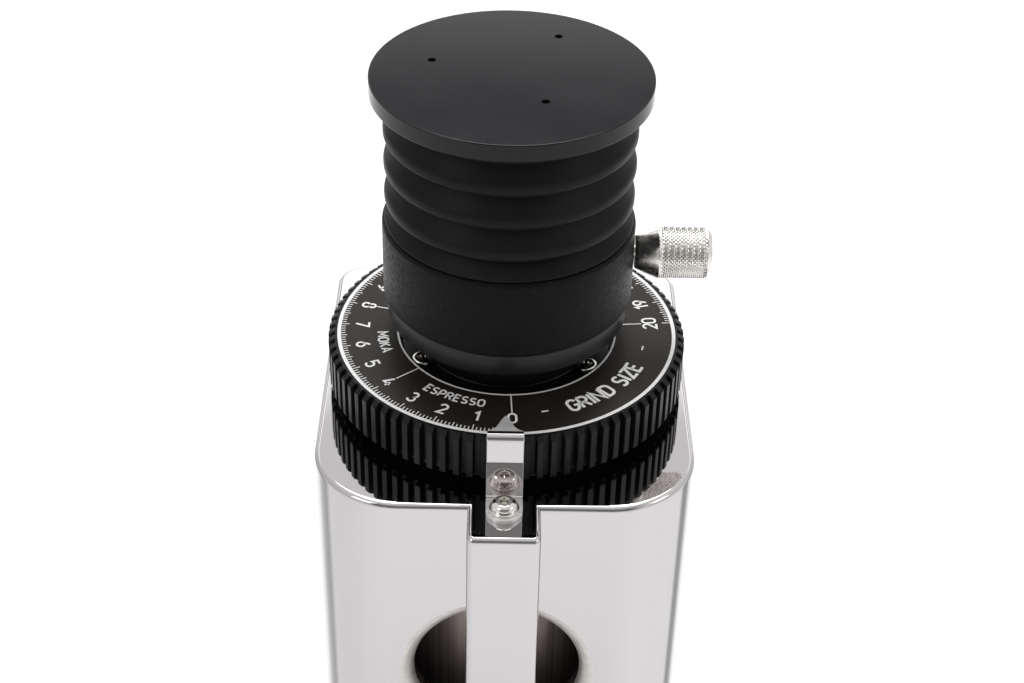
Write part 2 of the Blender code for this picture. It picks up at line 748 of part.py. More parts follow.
def build_fork():
    seat = -(BODY_FRONT + GAP)
    back = -(BODY_FRONT + GAP + FORK_THICKNESS)
    outline = (
        [(-FORK_BACK_HALF_WIDTH, seat), (-FORK_HALF_WIDTH, FORK_SHOULDER_Y)]
        + [(-FORK_HALF_WIDTH, FORK_FRONT_Y), (-FORK_GAP_RADIUS, FORK_FRONT_Y)]
        + arc((0.0, SPOUT_Y), FORK_GAP_RADIUS, 180, 0, 2 * ARC_STEPS)
        + [(FORK_GAP_RADIUS, FORK_FRONT_Y), (FORK_HALF_WIDTH, FORK_FRONT_Y)]
        + [(FORK_HALF_WIDTH, FORK_SHOULDER_Y), (FORK_BACK_HALF_WIDTH, seat)]
    )
    fork = solid("portafilter_fork", prism(outline, FORK_TOP - FORK_THICKNESS, FORK_TOP), "polished_steel")
    plate = block(
        (-FORK_BACK_HALF_WIDTH, FORK_BACK_HALF_WIDTH),
        (back, seat),
        (FORK_TOP - FORK_BACK_HEIGHT, FORK_TOP - FORK_THICKNESS / 2),
    )
    fuse(fork, solid("fork_plate", plate))
    screw_z = FORK_TOP - FORK_THICKNESS - (FORK_BACK_HEIGHT - FORK_THICKNESS) / 2
    shank = BIG_SCREW[2]
    for name, side in (("fork_screw_left", -1), ("fork_screw_right", 1)):
        screw = solid(name, button_screw(BIG_SCREW, FORK_THICKNESS), "knurled_steel", turn=along_y())
        screw.location = (side * FORK_SCREW_X, back - GAP, screw_z)
        bore = rod(shank + GAP, -2 * FORK_THICKNESS, GAP)
        hole = solid(f"{name}_hole", turned(bore, SCREW_SIDES), turn=along_y())
        hole.location = screw.location
        cut(fork, hole)


def build_cup():
    inside = CUP_RADIUS - CUP_WALL
    profile = [
        (0.0, 0.0),
        (CUP_RADIUS - CUP_FLOOR, 0.0),
        (CUP_RADIUS, CUP_FLOOR),
        (CUP_RADIUS, CUP_HEIGHT),
        (inside, CUP_HEIGHT),
        (inside, CUP_FLOOR + CUP_WALL),
        (inside - CUP_WALL, CUP_FLOOR),
        (0.0, CUP_FLOOR),
    ]
    cup = solid("dosing_cup", turned(profile, ROUND_SIDES), "polished_steel")
    cup.location = (0, SPOUT_Y, MAT_TOP + GAP)


# ---- Motor ----
def build_motor():
    low = MOTOR_LOW
    inside = MOTOR_RADIUS - MOTOR_WALL
    can = [
        (MOTOR_RADIUS, MOTOR_TOP),
        (MOTOR_RADIUS, low),
        (inside, low),
        (inside, MOTOR_TOP - MOTOR_TOP_PLATE),
        (MOTOR_TOP_BORE, MOTOR_TOP - MOTOR_TOP_PLATE),
        (MOTOR_TOP_BORE, MOTOR_TOP),
    ]
    solid("motor_can", turned(can, FINE_SIDES), "dark_brushed_steel")
    seat = low + END_CAP_THICKNESS + END_CAP_THICKNESS / 2
    cap = [
        (0.0, low),
        (inside - GAP, low),
        (inside - GAP, low + END_CAP_THICKNESS),
        (END_CAP_BOSS, low + END_CAP_THICKNESS),
        (END_CAP_BOSS, seat + GAP + BEARING_HEIGHT),
        (BEARING_RADIUS + GAP, seat + GAP + BEARING_HEIGHT),
        (BEARING_RADIUS + GAP, seat),
        (0.0, seat),
    ]
    solid("motor_end_cap", turned(cap, INNER_SIDES), "motor_steel")
    bearing = [
        (SHAFT_RADIUS + GAP, 0.0),
        (BEARING_RADIUS, 0.0),
        (BEARING_RADIUS, BEARING_HEIGHT),
        (SHAFT_RADIUS + GAP, BEARING_HEIGHT),
    ]
    for name, height in (("lower_bearing", seat + GAP), ("upper_bearing", CHAMBER_LOW + GAP)):
        solid(name, turned(bearing, INNER_SIDES), "burr_steel").location.z = height
    stator = [
        (STATOR_BORE, low + STATOR_LOW),
        (inside - GAP, low + STATOR_LOW),
        (inside - GAP, low + STATOR_HIGH),
        (STATOR_BORE, low + STATOR_HIGH),
    ]
    solid("stator", turned(stator, INNER_SIDES), "windings")
    shaft_top = CARRIER_TOP + CARRIER_HUB_HEIGHT - BIG_SCREW[1] - GAP
    rotor = [
        (0.0, seat + 2 * GAP),
        (SHAFT_RADIUS, seat + 2 * GAP),
        (SHAFT_RADIUS, low + ROTOR_LOW),
        (ROTOR_RADIUS, low + ROTOR_LOW),
        (ROTOR_RADIUS, low + ROTOR_HIGH),
        (SHAFT_RADIUS, low + ROTOR_HIGH),
        (SHAFT_RADIUS, shaft_top),
        (0.0, shaft_top),
    ]
    solid("rotor", turned(rotor, INNER_SIDES), "motor_steel")
    stand_top = low - GAP
    stand = [
        (STAND_RADIUS + STAND_FLANGE, HOUSING_LOW),
        (STAND_RADIUS + STAND_FLANGE, HOUSING_LOW + STAND_WALL),
        (STAND_RADIUS, HOUSING_LOW + STAND_WALL),
        (STAND_RADIUS, stand_top),
        (STAND_RADIUS - STAND_WALL, stand_top),
        (STAND_RADIUS - STAND_WALL, HOUSING_LOW),
    ]
    solid("motor_stand", turned(stand, INNER_SIDES), "cast_aluminium")
    capacitor = rod(CAPACITOR_RADIUS, HOUSING_LOW, HOUSING_LOW + CAPACITOR_HEIGHT)
    solid("motor_capacitor", turned(capacitor, SMALL_SIDES), "black_plastic")


# ---- Grinding head ----
def build_chamber():
    profile = [
        (CHAMBER_NECK, NECK_TOP),
        (CHAMBER_NECK, RING_LOW - GAP),
        (CHAMBER_FLANGE_RADIUS, RING_LOW - GAP),
        (CHAMBER_FLANGE_RADIUS, HOUSING_TOP + GAP),
        (CHAMBER_RADIUS, HOUSING_TOP + GAP),
        (CHAMBER_RADIUS, CHAMBER_LOW),
        (BEARING_RADIUS + GAP, CHAMBER_LOW),
        (BEARING_RADIUS + GAP, CHAMBER_INSIDE),
        (CHAMBER_BORE, CHAMBER_INSIDE),
        (CHAMBER_BORE, NECK_TOP),
    ]
    chamber = solid("grind_chamber", turned(profile, ROUND_SIDES), "cast_aluminium")
    outside = OUTLET_HALF_WIDTH + OUTLET_WALL
    spigot = block(
        (-outside, outside),
        (DUCT_BACK_Y + GAP, -CHAMBER_RADIUS + CHAMBER_FLOOR),
        (OUTLET_LOW - OUTLET_WALL, OUTLET_HIGH + OUTLET_WALL),
    )
    bore = block(
        (-OUTLET_HALF_WIDTH, OUTLET_HALF_WIDTH),
        (DUCT_BACK_Y - CHAMBER_FLOOR, -BURR_RADIUS),
        (OUTLET_LOW, OUTLET_HIGH),
    )
    fuse(chamber, solid("outlet_spigot", spigot))
    cut(chamber, solid("outlet_bore", bore))


def toothed_burr(low, high, teeth_up):
    """A turned burr whose working face rises and falls round its edge and cones in to the eye."""
    face, seat = (high, low) if teeth_up else (low, high)
    step = -BURR_TOOTH_DEPTH if teeth_up else BURR_TOOTH_DEPTH
    profile = [
        (BURR_EYE, seat),
        (BURR_RADIUS, seat),
        (BURR_RADIUS, face),
        (BURR_RADIUS * 0.8, face),
        (BURR_EYE, face + 5 * step),
    ]
    vertices, faces = turned(profile, ROUND_SIDES)
    first, last = 2 * ROUND_SIDES, 4 * ROUND_SIDES
    toothed = []
    for k, (x, y, z) in enumerate(vertices):
        drop = step if first <= k < last and k % 2 else 0.0
        toothed.append((x, y, z + drop))
    return toothed, faces


def build_burrs():
    burr_low = UPPER_BURR_TOP - BURR_THICKNESS
    solid("upper_burr", toothed_burr(burr_low, UPPER_BURR_TOP, False), "burr_steel")
    skirt = burr_low + BURR_THICKNESS / 4
    holder_out = CHAMBER_BORE - GAP
    holder = [
        (holder_out, RING_TOP - HOLDER_TOP_DROP),
        (holder_out, skirt),
        (BURR_RADIUS + GAP, skirt),
        (BURR_RADIUS + GAP, UPPER_BURR_TOP + GAP),
        (HOLDER_EYE, UPPER_BURR_TOP + GAP),
        (HOLDER_EYE, RING_TOP - HOLDER_TOP_DROP),
    ]
    solid("upper_burr_holder", turned(holder, ROUND_SIDES), "cast_aluminium")
    solid("lower_burr", toothed_burr(LOWER_BURR_TOP - BURR_THICKNESS, LOWER_BURR_TOP, True), "burr_steel")
    carrier = [
        (SHAFT_RADIUS + GAP, CARRIER_TOP - CARRIER_THICKNESS),
        (CARRIER_RADIUS, CARRIER_TOP - CARRIER_THICKNESS),
        (CARRIER_RADIUS, CARRIER_TOP),
        (CARRIER_HUB, CARRIER_TOP),
        (CARRIER_HUB, CARRIER_TOP + CARRIER_HUB_HEIGHT),
        (SHAFT_RADIUS + GAP, CARRIER_TOP + CARRIER_HUB_HEIGHT),
    ]
    hub = solid("burr_carrier", turned(carrier, ROUND_SIDES), "cast_aluminium")
    low = CHAMBER_INSIDE + 2 * GAP
    vane = block(
        (-SWEEPER_REACH, SWEEPER_REACH),
        (-OUTLET_WALL, OUTLET_WALL),
        (low, CARRIER_TOP - CARRIER_THICKNESS / 2),
    )
    sweeper = solid("sweeper_vane", vane)
    around = [
        (0.0, 0.0),
        (CARRIER_HUB, 0.0),
        (CARRIER_HUB, CARRIER_THICKNESS),
        (SHAFT_RADIUS + GAP, CARRIER_THICKNESS),
        (SHAFT_RADIUS + GAP, 2 * CARRIER_THICKNESS),
        (0.0, 2 * CARRIER_THICKNESS),
    ]
    relief = solid("sweeper_relief", turned(around, ROUND_SIDES))
    relief.location.z = CARRIER_TOP - 2 * CARRIER_THICKNESS
    fuse(hub, sweeper)
    cut(hub, relief)
    shank = BIG_SCREW[1] - GAP
    screw = solid("carrier_screw", button_screw(BIG_SCREW, shank), "knurled_steel")
    screw.location.z = CARRIER_TOP + CARRIER_HUB_HEIGHT + GAP


# ---- Setting ring, scale and pointer ----
def toothed_outline():
    """Eight points to every two teeth, so that the inner loops can share their sectors."""
    pitch = 2 * math.pi / TEETH
    root = RING_RADIUS - TOOTH_DEPTH
    points = []
    for k in range(TEETH):
        middle = k * pitch
        for share, radius in (
            (-TOOTH_SHARE / 2 - TOOTH_FLANK, root),
            (-TOOTH_SHARE / 2, RING_RADIUS),
            (TOOTH_SHARE / 2, RING_RADIUS),
            (TOOTH_SHARE / 2 + TOOTH_FLANK, root),
        ):
            angle = middle + share * pitch
            points.append((radius * math.cos(angle), radius * math.sin(angle)))
    return points


def build_ring():
    outline = toothed_outline()
    sectors = TEETH // 2
    per_sector = len(outline) // sectors
    recess = RING_TOP - DISC_THICKNESS - GAP
    vertices = [(x, y, RING_LOW) for x, y in outline] + [(x, y, RING_TOP) for x, y in outline]
    first_angle = math.atan2(outline[0][1], outline[0][0])
    inner = []
    recess_radius = DISC_RADIUS + GAP
    for radius, height in (
        (RING_BORE, RING_LOW),
        (RING_BORE, recess),
        (recess_radius, recess),
        (recess_radius, RING_TOP),
    ):
        inner.append(list(range(len(vertices), len(vertices) + sectors)))
        for k in range(sectors):
            angle = first_angle + 2 * math.pi * k / sectors
            vertices.append((radius * math.cos(angle), radius * math.sin(angle), height))
    bottom = list(range(len(outline)))
    top = [len(outline) + k for k in bottom]
    faces = faces_between([bottom, top], False) + faces_between(inner, False)
    for loop, ring in ((bottom, inner[0]), (top, inner[-1])):
        for k in range(sectors):
            edge = [loop[(k * per_sector + j) % len(loop)] for j in range(per_sector + 1)]
            faces.append(edge + [ring[(k + 1) % sectors], ring[k]])
    solid("adjustment_ring", (vertices, faces), "ring_black")
    disc = [
        (DISC_BORE, RING_TOP),
        (DISC_RADIUS, RING_TOP),
        (DISC_RADIUS, RING_TOP - DISC_THICKNESS),
        (DISC_BORE, RING_TOP - DISC_THICKNESS),
    ]
    solid("scale_disc", turned(disc, TEETH // 2), "scale_print")


def build_pointer():
    """A bent strip: a foot on the rib's top, a riser in front of the ring and a pointed arm."""
    foot_low = HOUSING_TOP + GAP
    foot_top = foot_low + POINTER_THICKNESS
    arm_low = RING_TOP + POINTER_LIFT
    arm_top = arm_low + POINTER_THICKNESS
    front = POINTER_FRONT_Y
    back = front + POINTER_THICKNESS
    outer = POINTER_BEND
    inner = POINTER_BEND - POINTER_THICKNESS
    end = POINTER_FOOT_Y - 2 * POINTER_HALF_WIDTH
    side = (
        [(end, foot_low)]
        + arc((back - outer, foot_low + outer), outer, 270, 360, SMALL_ARC_STEPS)
        + arc((back + inner, arm_low - inner), inner, 180, 90, SMALL_ARC_STEPS)
        + [(POINTER_TIP_Y + POINTER_HALF_WIDTH, arm_low), (POINTER_TIP_Y + POINTER_HALF_WIDTH, arm_top)]
        + arc((front + outer, arm_top - outer), outer, 90, 180, SMALL_ARC_STEPS)
        + arc((front - inner, foot_top + inner), inner, 360, 270, SMALL_ARC_STEPS)
        + [(end, foot_top)]
    )
    width = 2 * POINTER_HALF_WIDTH
    loops = [[(x, y, z) for y, z in side] for x in (-width, width)]
    strip = solid("pointer_bracket", lofted(loops), "polished_steel")
    half = POINTER_HALF_WIDTH
    taper = POINTER_TIP_Y - POINTER_SHOULDER_Y
    right = [(half * width, POINTER_SHOULDER_Y + taper * along) for along, width in POINTER_TAPER]
    plan = (
        arc((0.0, POINTER_FOOT_Y), half, 180, 360, 2 * SMALL_ARC_STEPS)
        + right
        + [(0.0, POINTER_TIP_Y)]
        + [(-x, y) for x, y in reversed(right)]
    )
    shape = solid("pointer_plan", prism(plan, foot_low - RING_LIFT, arm_top + RING_LIFT))
    combine(strip, shape, "INTERSECT")
    shank = BIG_SCREW[2]
    hole = solid("pointer_hole", turned(rod(shank + GAP, -RING_LIFT, GAP), SCREW_SIDES))
    screw = solid("pointer_screw", button_screw(BIG_SCREW, POINTER_THICKNESS, SMALL_SIDES), "knurled_steel")
    for piece in (hole, screw):
        piece.location = (0, POINTER_SCREW_Y, foot_top + GAP)
    cut(strip, hole)


# ---- Hopper, gate, bellows and lid ----
def build_hopper():
    flange_top = COLLAR_LOW + COLLAR_FLANGE
    step = RING_TOP + COLLAR_STEP_RISE
    rise = RING_TOP + COLLAR_RISE
    top = RING_TOP + COLLAR_TOP
    chamfer = EDGE_CHAMFER
    collar = [
        (THROAT_RADIUS, COLLAR_LOW),
        (COLLAR_FLANGE_RADIUS, COLLAR_LOW),
        (COLLAR_FLANGE_RADIUS, flange_top),
        (COLLAR_NECK_RADIUS, flange_top),
        (COLLAR_NECK_RADIUS, step),
        (COLLAR_STEP_RADIUS, step),
        (COLLAR_STEP_RADIUS, rise),
        (COLLAR_RADIUS, rise),
        (COLLAR_RADIUS, top - chamfer),
        (COLLAR_RADIUS - chamfer, top),
        (THROAT_RADIUS, top),
    ]
    solid("hopper_collar", turned(collar, ROUND_SIDES), "gloss_black")
    for k, angle in enumerate(COLLAR_SCREW_ANGLES):
        screw = solid(f"collar_screw_{k + 1}", button_screw(COLLAR_SCREW, 0.0), "knurled_steel")
        bearing = math.radians(angle)
        screw.location = (
            COLLAR_SCREW_CIRCLE * math.cos(bearing),
            COLLAR_SCREW_CIRCLE * math.sin(bearing),
            flange_top + GAP,
        )
    outer_low = HOPPER_LOW + HOPPER_LIP - GAP
    mouth = SPIGOT_RADIUS - SPIGOT_WALL
    body = [
        (HOPPER_RADIUS, outer_low),
        (HOPPER_RADIUS, HOPPER_TOP - HOPPER_LIP),
        (HOPPER_RADIUS - HOPPER_LIP, HOPPER_TOP),
        (SPIGOT_RADIUS, HOPPER_TOP),
        (SPIGOT_RADIUS, HOPPER_TOP + SPIGOT_HEIGHT),
        (mouth, HOPPER_TOP + SPIGOT_HEIGHT),
        (mouth, HOPPER_TOP),
        (THROAT_RADIUS, HOPPER_TOP - FUNNEL_DEPTH),
        (THROAT_RADIUS, HOPPER_LOW),
        (HOPPER_SEAT_RADIUS, HOPPER_LOW),
        (HOPPER_SEAT_RADIUS, outer_low),
    ]
    hopper = solid("hopper_body", turned(body, FINE_SIDES), "textured_black")
    bore = GATE_SHAFT_RADIUS + GAP
    run = rod(bore, -GATE_SHAFT_LEFT - GAP, KNOB_END)
    shaft_hole = solid("shaft_hole", turned(run, SMALL_SIDES), turn=along_x())
    shaft_hole.location.z = GATE_HEIGHT
    cut(hopper, shaft_hole)


def build_gate():
    pivot = empty_at("gate_axis", (0, 0, GATE_HEIGHT), bpy.data.objects["grinder_axis"])
    knob_start = HOPPER_RADIUS + GAP
    shaft = rod(GATE_SHAFT_RADIUS, -GATE_SHAFT_LEFT, knob_start + KNOB_SOCKET - GAP)
    radius = THROAT_RADIUS - FLAP_CLEARANCE
    half = FLAP_THICKNESS / 2
    flap = solid("gate_flap", turned(shaft, SMALL_SIDES), "knurled_steel", parent=pivot, turn=along_x())
    fuse(flap, solid("flap_plate", turned(rod(radius, -half, half), INNER_SIDES), parent=pivot))
    neck_end = knob_start + KNOB_NECK_LENGTH
    knob = [
        (GATE_SHAFT_RADIUS + GAP, knob_start),
        (KNOB_NECK_RADIUS, knob_start),
        (KNOB_RADIUS, neck_end),
        (KNOB_RADIUS, KNOB_END - KNOB_CHAMFER),
        (KNOB_RADIUS - KNOB_CHAMFER, KNOB_END),
        (0.0, KNOB_END),
        (0.0, knob_start + KNOB_SOCKET),
        (GATE_SHAFT_RADIUS + GAP, knob_start + KNOB_SOCKET),
    ]
    solid("gate_knob", turned(knob, INNER_SIDES), "knurled_steel", parent=pivot, turn=along_x())


def build_bellows():
    low = BELLOWS_LOW
    radius = BELLOWS_RADIUS
    profile = [(BELLOWS_BORE, low), (radius - GAP, low)]
    for k in range(GROOVE_COUNT):
        groove = low + GROOVE_FIRST + k * GROOVE_PITCH
        profile += [
            (radius, groove - GROOVE_HALF_HEIGHT),
            (radius - GROOVE_DEPTH, groove),
            (radius, groove + GROOVE_HALF_HEIGHT),
        ]
    profile += [
        (radius, BELLOWS_TOP - GROOVE_HALF_HEIGHT),
        (radius - GROOVE_DEPTH, BELLOWS_TOP),
        (BELLOWS_BORE, BELLOWS_TOP),
    ]
    solid("bellows", turned(profile, ROUND_SIDES), "silicone")
    ring = [
        (TOP_RING_BORE, BELLOWS_TOP - TOP_RING_HEIGHT),
        (BELLOWS_BORE - GAP, BELLOWS_TOP - TOP_RING_HEIGHT),
        (BELLOWS_BORE - GAP, BELLOWS_TOP),
        (TOP_RING_BORE, BELLOWS_TOP),
    ]
    solid("bellows_top_ring", turned(ring, ROUND_SIDES), "black_anodised")
    plug = TOP_RING_BORE - GAP
    top = LID_LOW + LID_THICKNESS
    chamfer = EDGE_CHAMFER
    lid_profile = [
        (0.0, LID_LOW - LID_PLUG_DEPTH),
        (plug, LID_LOW - LID_PLUG_DEPTH),
        (plug, LID_LOW),
        (LID_RADIUS, LID_LOW),
        (LID_RADIUS, top - chamfer),
        (LID_RADIUS - chamfer, top),
        (0.0, top),
    ]
    lid = solid("lid", turned(lid_profile, FINE_SIDES), "black_anodised")
    hole = rod(LID_HOLE_RADIUS, top - LID_HOLE_DEPTH, top + LID_HOLE_DEPTH)
    for k, angle in enumerate(LID_HOLE_ANGLES):
        cutter = solid(f"lid_hole_{k + 1}", turned(hole, SCREW_SIDES))
        bearing = math.radians(angle)
        cutter.location = (
            LID_HOLE_CIRCLE * math.cos(bearing),
            LID_HOLE_OFFSET + LID_HOLE_CIRCLE * math.sin(bearing),
            0,
        )
        cut(lid, cutter)


def main():
    clear_scene()
    empty_at("grinder_axis", (AXIS_X, AXIS_Y, 0))
    build_base()
    build_housing()
    build_rear()
    build_switch()
    build_chute()
    build_fork()
    build_cup()
    build_motor()
    build_chamber()
    build_burrs()
    build_ring()
    build_pointer()
    build_hopper()
    build_gate()
    build_bellows()


main()
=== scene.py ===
"""Looks for the burr coffee grinder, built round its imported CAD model."""

import json
import math

import bmesh
import bpy
from mathutils import Matrix, Vector


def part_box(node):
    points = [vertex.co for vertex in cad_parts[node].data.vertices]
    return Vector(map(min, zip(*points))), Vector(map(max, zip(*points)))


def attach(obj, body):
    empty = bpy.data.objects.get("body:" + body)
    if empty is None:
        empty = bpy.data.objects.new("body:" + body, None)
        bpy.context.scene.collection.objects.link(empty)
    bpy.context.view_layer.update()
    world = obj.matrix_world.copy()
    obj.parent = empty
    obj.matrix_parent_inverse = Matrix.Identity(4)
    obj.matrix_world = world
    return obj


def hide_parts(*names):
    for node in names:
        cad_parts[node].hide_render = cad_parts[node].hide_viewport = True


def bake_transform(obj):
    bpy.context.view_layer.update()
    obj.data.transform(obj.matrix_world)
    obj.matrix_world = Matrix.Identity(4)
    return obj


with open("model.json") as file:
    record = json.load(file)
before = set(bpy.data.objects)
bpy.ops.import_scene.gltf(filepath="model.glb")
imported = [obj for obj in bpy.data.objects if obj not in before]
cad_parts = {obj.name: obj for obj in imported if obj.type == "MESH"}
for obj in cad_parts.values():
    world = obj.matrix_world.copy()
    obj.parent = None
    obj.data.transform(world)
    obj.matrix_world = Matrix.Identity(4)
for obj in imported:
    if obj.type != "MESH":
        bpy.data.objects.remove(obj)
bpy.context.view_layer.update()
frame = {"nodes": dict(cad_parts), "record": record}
NODES = frame["nodes"]
MM = 0.001


# ---- Places read from the frame ----
def low(node):
    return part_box(node)[0]


def high(node):
    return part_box(node)[1]


AXIS = (low("adjustment_ring") + high("adjustment_ring")) / 2
AX, AY = AXIS.x, AXIS.y
DISC_TOP = high("adjustment_ring").z
RING_LOW = low("adjustment_ring").z
BODY_TOP = high("housing").z
BODY_LOW = low("housing").z
BODY_HALF = (high("housing").x - low("housing").x) / 2
BODY_BACK = high("housing").y - AY
RIB_FRONT = low("housing").y - AY
BODY_FRONT = -70 * MM
RIB_HALF = 12 * MM
RIB_LOW = low("chute_duct").z
LID_LOW = high("bellows").z + 0.3 * MM
LID_TOP = high("lid").z
WINDOW_Z = 175.3 * MM
WINDOW_X = -1.4 * MM
ROOT = "grinder"

# Sizes that several pieces share.
FRONT_CORNER = 30 * MM
REAR_CORNER = 10 * MM
WALL = 1.5 * MM
CUP_Y = -106 * MM
THROAT = 16.8 * MM
FLAP_SHAFT = 2.8 * MM
KNOB_Z = DISC_TOP + 33 * MM
RING_TIP = 62 * MM


# ---- Shapes: (vertices, faces) ----
def turned(profile, sides=96):
    """A closed profile of (radius, height) turned about Z."""
    vertices, rings = [], []
    for radius, height in profile:
        count = sides if radius > 1e-7 else 1
        rings.append([len(vertices) + k % count for k in range(sides)])
        for k in range(count):
            angle = 2 * math.pi * k / sides
            vertices.append((radius * math.cos(angle), radius * math.sin(angle), height))
    return vertices, band(rings, True)


def band(rings, closed):
    """Faces between neighbouring rings of vertex numbers; closed joins the last ring to the first."""
    faces, sides = [], len(rings[0])
    for i in range(len(rings) if closed else len(rings) - 1):
        ring, after = rings[i], rings[(i + 1) % len(rings)]
        for k in range(sides):
            j = (k + 1) % sides
            corners = dict.fromkeys((ring[k], ring[j], after[j], after[k]))
            if len(corners) > 2:
                faces.append(list(corners))
    return faces


def lofted(loops, tube=False):
    """A skin through loops of points, with its ends filled unless it closes on itself as a tube."""
    sides = len(loops[0])
    vertices = [tuple(p) for loop in loops for p in loop]
    rings = [list(range(i * sides, (i + 1) * sides)) for i in range(len(loops))]
    faces = band(rings, tube)
    if not tube:
        faces += [rings[0][::-1], rings[-1]]
    return vertices, faces


def prism(outline, z0, z1):
    return lofted([[(x, y, z) for x, y in outline] for z in (z0, z1)])


def circle(radius, height, sides):
    """A level loop of points round Z."""
    angles = [2 * math.pi * k / sides for k in range(sides)]
    return [(radius * math.cos(angle), radius * math.sin(angle), height) for angle in angles]


def block(x, y, z):
    return prism([(x[0], y[0]), (x[1], y[0]), (x[1], y[1]), (x[0], y[1])], *z)


def filleted(points, radius, steps=5, closed=True):
    """The polygon with each corner rounded to its radius (one number, or one for each point)."""
    out, n = [], len(points)
    radii = radius if hasattr(radius, "__len__") else [radius] * n
    for i, (p, r) in enumerate(zip(points, radii)):
        here = Vector((p[0], p[1]))
        if r <= 0 or (not closed and i in (0, n - 1)):
            out.append((here.x, here.y))
            continue
        a = Vector(points[i - 1][:2]) - here
        b = Vector(points[(i + 1) % n][:2]) - here
        la, lb = a.length, b.length
        if la < 1e-9 or lb < 1e-9:
            out.append((here.x, here.y))
            continue
        a.normalize()
        b.normalize()
        angle = a.angle(b)
        if angle > math.pi - 0.02:
            out.append((here.x, here.y))
            continue
        run = min(r / math.tan(angle / 2), la * 0.49, lb * 0.49)
        real = run * math.tan(angle / 2)
        centre = here + (a + b).normalized() * (real / math.sin(angle / 2))
        start, end = here + a * run - centre, here + b * run - centre
        turn = start.angle_signed(end)
        for k in range(steps + 1):
            t = -turn * k / steps
            c, s = math.cos(t), math.sin(t)
            out.append((centre.x + start.x * c - start.y * s, centre.y + start.x * s + start.y * c))
    return out


def rounded_rect(half_x, y0, y1, front, back, inset=0.0, steps=20):
    x, a, b = half_x - inset, y0 + inset, y1 - inset
    radii = [front - inset, front - inset, max(back - inset, 1e-5), max(back - inset, 1e-5)]
    return filleted([(-x, a), (x, a), (x, b), (-x, b)], radii, steps)


def top_rounded(outline, z0, z1, radius, steps=8):
    loops = [[(x, y, z0) for x, y in outline(0.0)]]
    for k in range(steps + 1):
        angle = math.radians(90 * k / steps)
        inset = radius * (1 - math.cos(angle))
        loops.append([(x, y, z1 - radius * (1 - math.sin(angle))) for x, y in outline(inset)])
    return lofted(loops)


# ---- Materials ----
def set_stops(ramp, stops):
    """Gives a colour ramp its (position, brightness) stops, which are in rising order."""
    ramp.elements[0].position, ramp.elements[1].position = stops[0][0], stops[-1][0]
    for position, _ in stops[1:-1]:
        ramp.elements.new(position)
    for element, (_, value) in zip(ramp.elements, stops):
        element.color = (value, value, value, 1)


class Paint:
    """A Principled material whose inputs are driven by procedural nodes in object space."""

    def __init__(self, name, colour, rough, metallic=0.0, coat=0.0, specular=0.5):
        self.material = bpy.data.materials.new(name)
        self.material.use_nodes = True
        self.tree = self.material.node_tree
        self.shader = self.tree.nodes["Principled BSDF"]
        self.shader.inputs["Base Color"].default_value = (*colour, 1)
        self.shader.inputs["Roughness"].default_value = rough
        self.shader.inputs["Metallic"].default_value = metallic
        self.shader.inputs["Coat Weight"].default_value = coat
        self.shader.inputs["Specular IOR Level"].default_value = specular
        self.colour, self.rough = colour, rough
        self.place = self.tree.nodes.new("ShaderNodeTexCoord")
        self.bumped = None

    def add(self, kind, **values):
        node = self.tree.nodes.new(kind)
        for key, value in values.items():
            if key in node.inputs:
                node.inputs[key].default_value = value
            else:
                setattr(node, key, value)
        return node

    def link(self, a, b):
        self.tree.links.new(a, b)

    def noise(self, scale, detail=3.0, stretch=(1, 1, 1), roughness=0.55):
        """Noise with features 1/scale metres across, drawn out along an axis by stretch."""
        mapping = self.add("ShaderNodeMapping")
        mapping.inputs["Scale"].default_value = stretch
        self.link(self.place.outputs["Object"], mapping.inputs["Vector"])
        noise = self.add("ShaderNodeTexNoise", Scale=scale, Detail=detail, Roughness=roughness)
        self.link(mapping.outputs["Vector"], noise.inputs["Vector"])
        return noise.outputs["Fac"]

    def spread(self, source, low_value, high_value, start=0.3, end=0.7):
        node = self.add("ShaderNodeMapRange")
        node.inputs["From Min"].default_value = start
        node.inputs["From Max"].default_value = end
        node.inputs["To Min"].default_value = low_value
        node.inputs["To Max"].default_value = high_value
        self.link(source, node.inputs["Value"])
        return node.outputs["Result"]

    def vary_rough(self, source, amount, start=0.3, end=0.7):
        low_value, high_value = max(self.rough - amount, 0.01), self.rough + amount
        self.link(self.spread(source, low_value, high_value, start, end), self.shader.inputs["Roughness"])
        return self

    def vary_colour(self, source, darker, lighter, start=0.3, end=0.7):
        """Mixes between two multiples of the base colour."""
        mix = self.add("ShaderNodeMix", data_type="RGBA")
        sockets = [s for s in mix.inputs if s.type == "RGBA"]
        sockets[0].default_value = (*(c * darker for c in self.colour), 1)
        sockets[1].default_value = (*(min(c * lighter, 1) for c in self.colour), 1)
        self.link(self.spread(source, 0, 1, start, end), mix.inputs["Factor"])
        result = next(s for s in mix.outputs if s.type == "RGBA")
        self.link(result, self.shader.inputs["Base Color"])
        return self

    def bump(self, source, strength, distance):
        node = self.add("ShaderNodeBump", Strength=strength, Distance=distance)
        self.link(source, node.inputs["Height"])
        if self.bumped:
            self.link(self.bumped, node.inputs["Normal"])
        self.bumped = node.outputs["Normal"]
        self.link(self.bumped, self.shader.inputs["Normal"])
        return self


# Tint of the polished steel against its sideways facing, 0 left to 1 right. It paints dark reflection lines
# at the housing's rounded corners into the colour: these are painted reflections, not real ones.
PAINTED_CORNER_REFLECTIONS = (
    (0.0, 0.72), (0.035, 0.85), (0.06, 0.35), (0.085, 0.30), (0.11, 0.78), (0.25, 0.86), (0.42, 0.98),
    (0.5, 1.0), (0.7, 1.0), (0.86, 0.92), (0.905, 0.85), (0.925, 0.12), (0.945, 0.10), (0.962, 0.80),
    (1.0, 1.0))


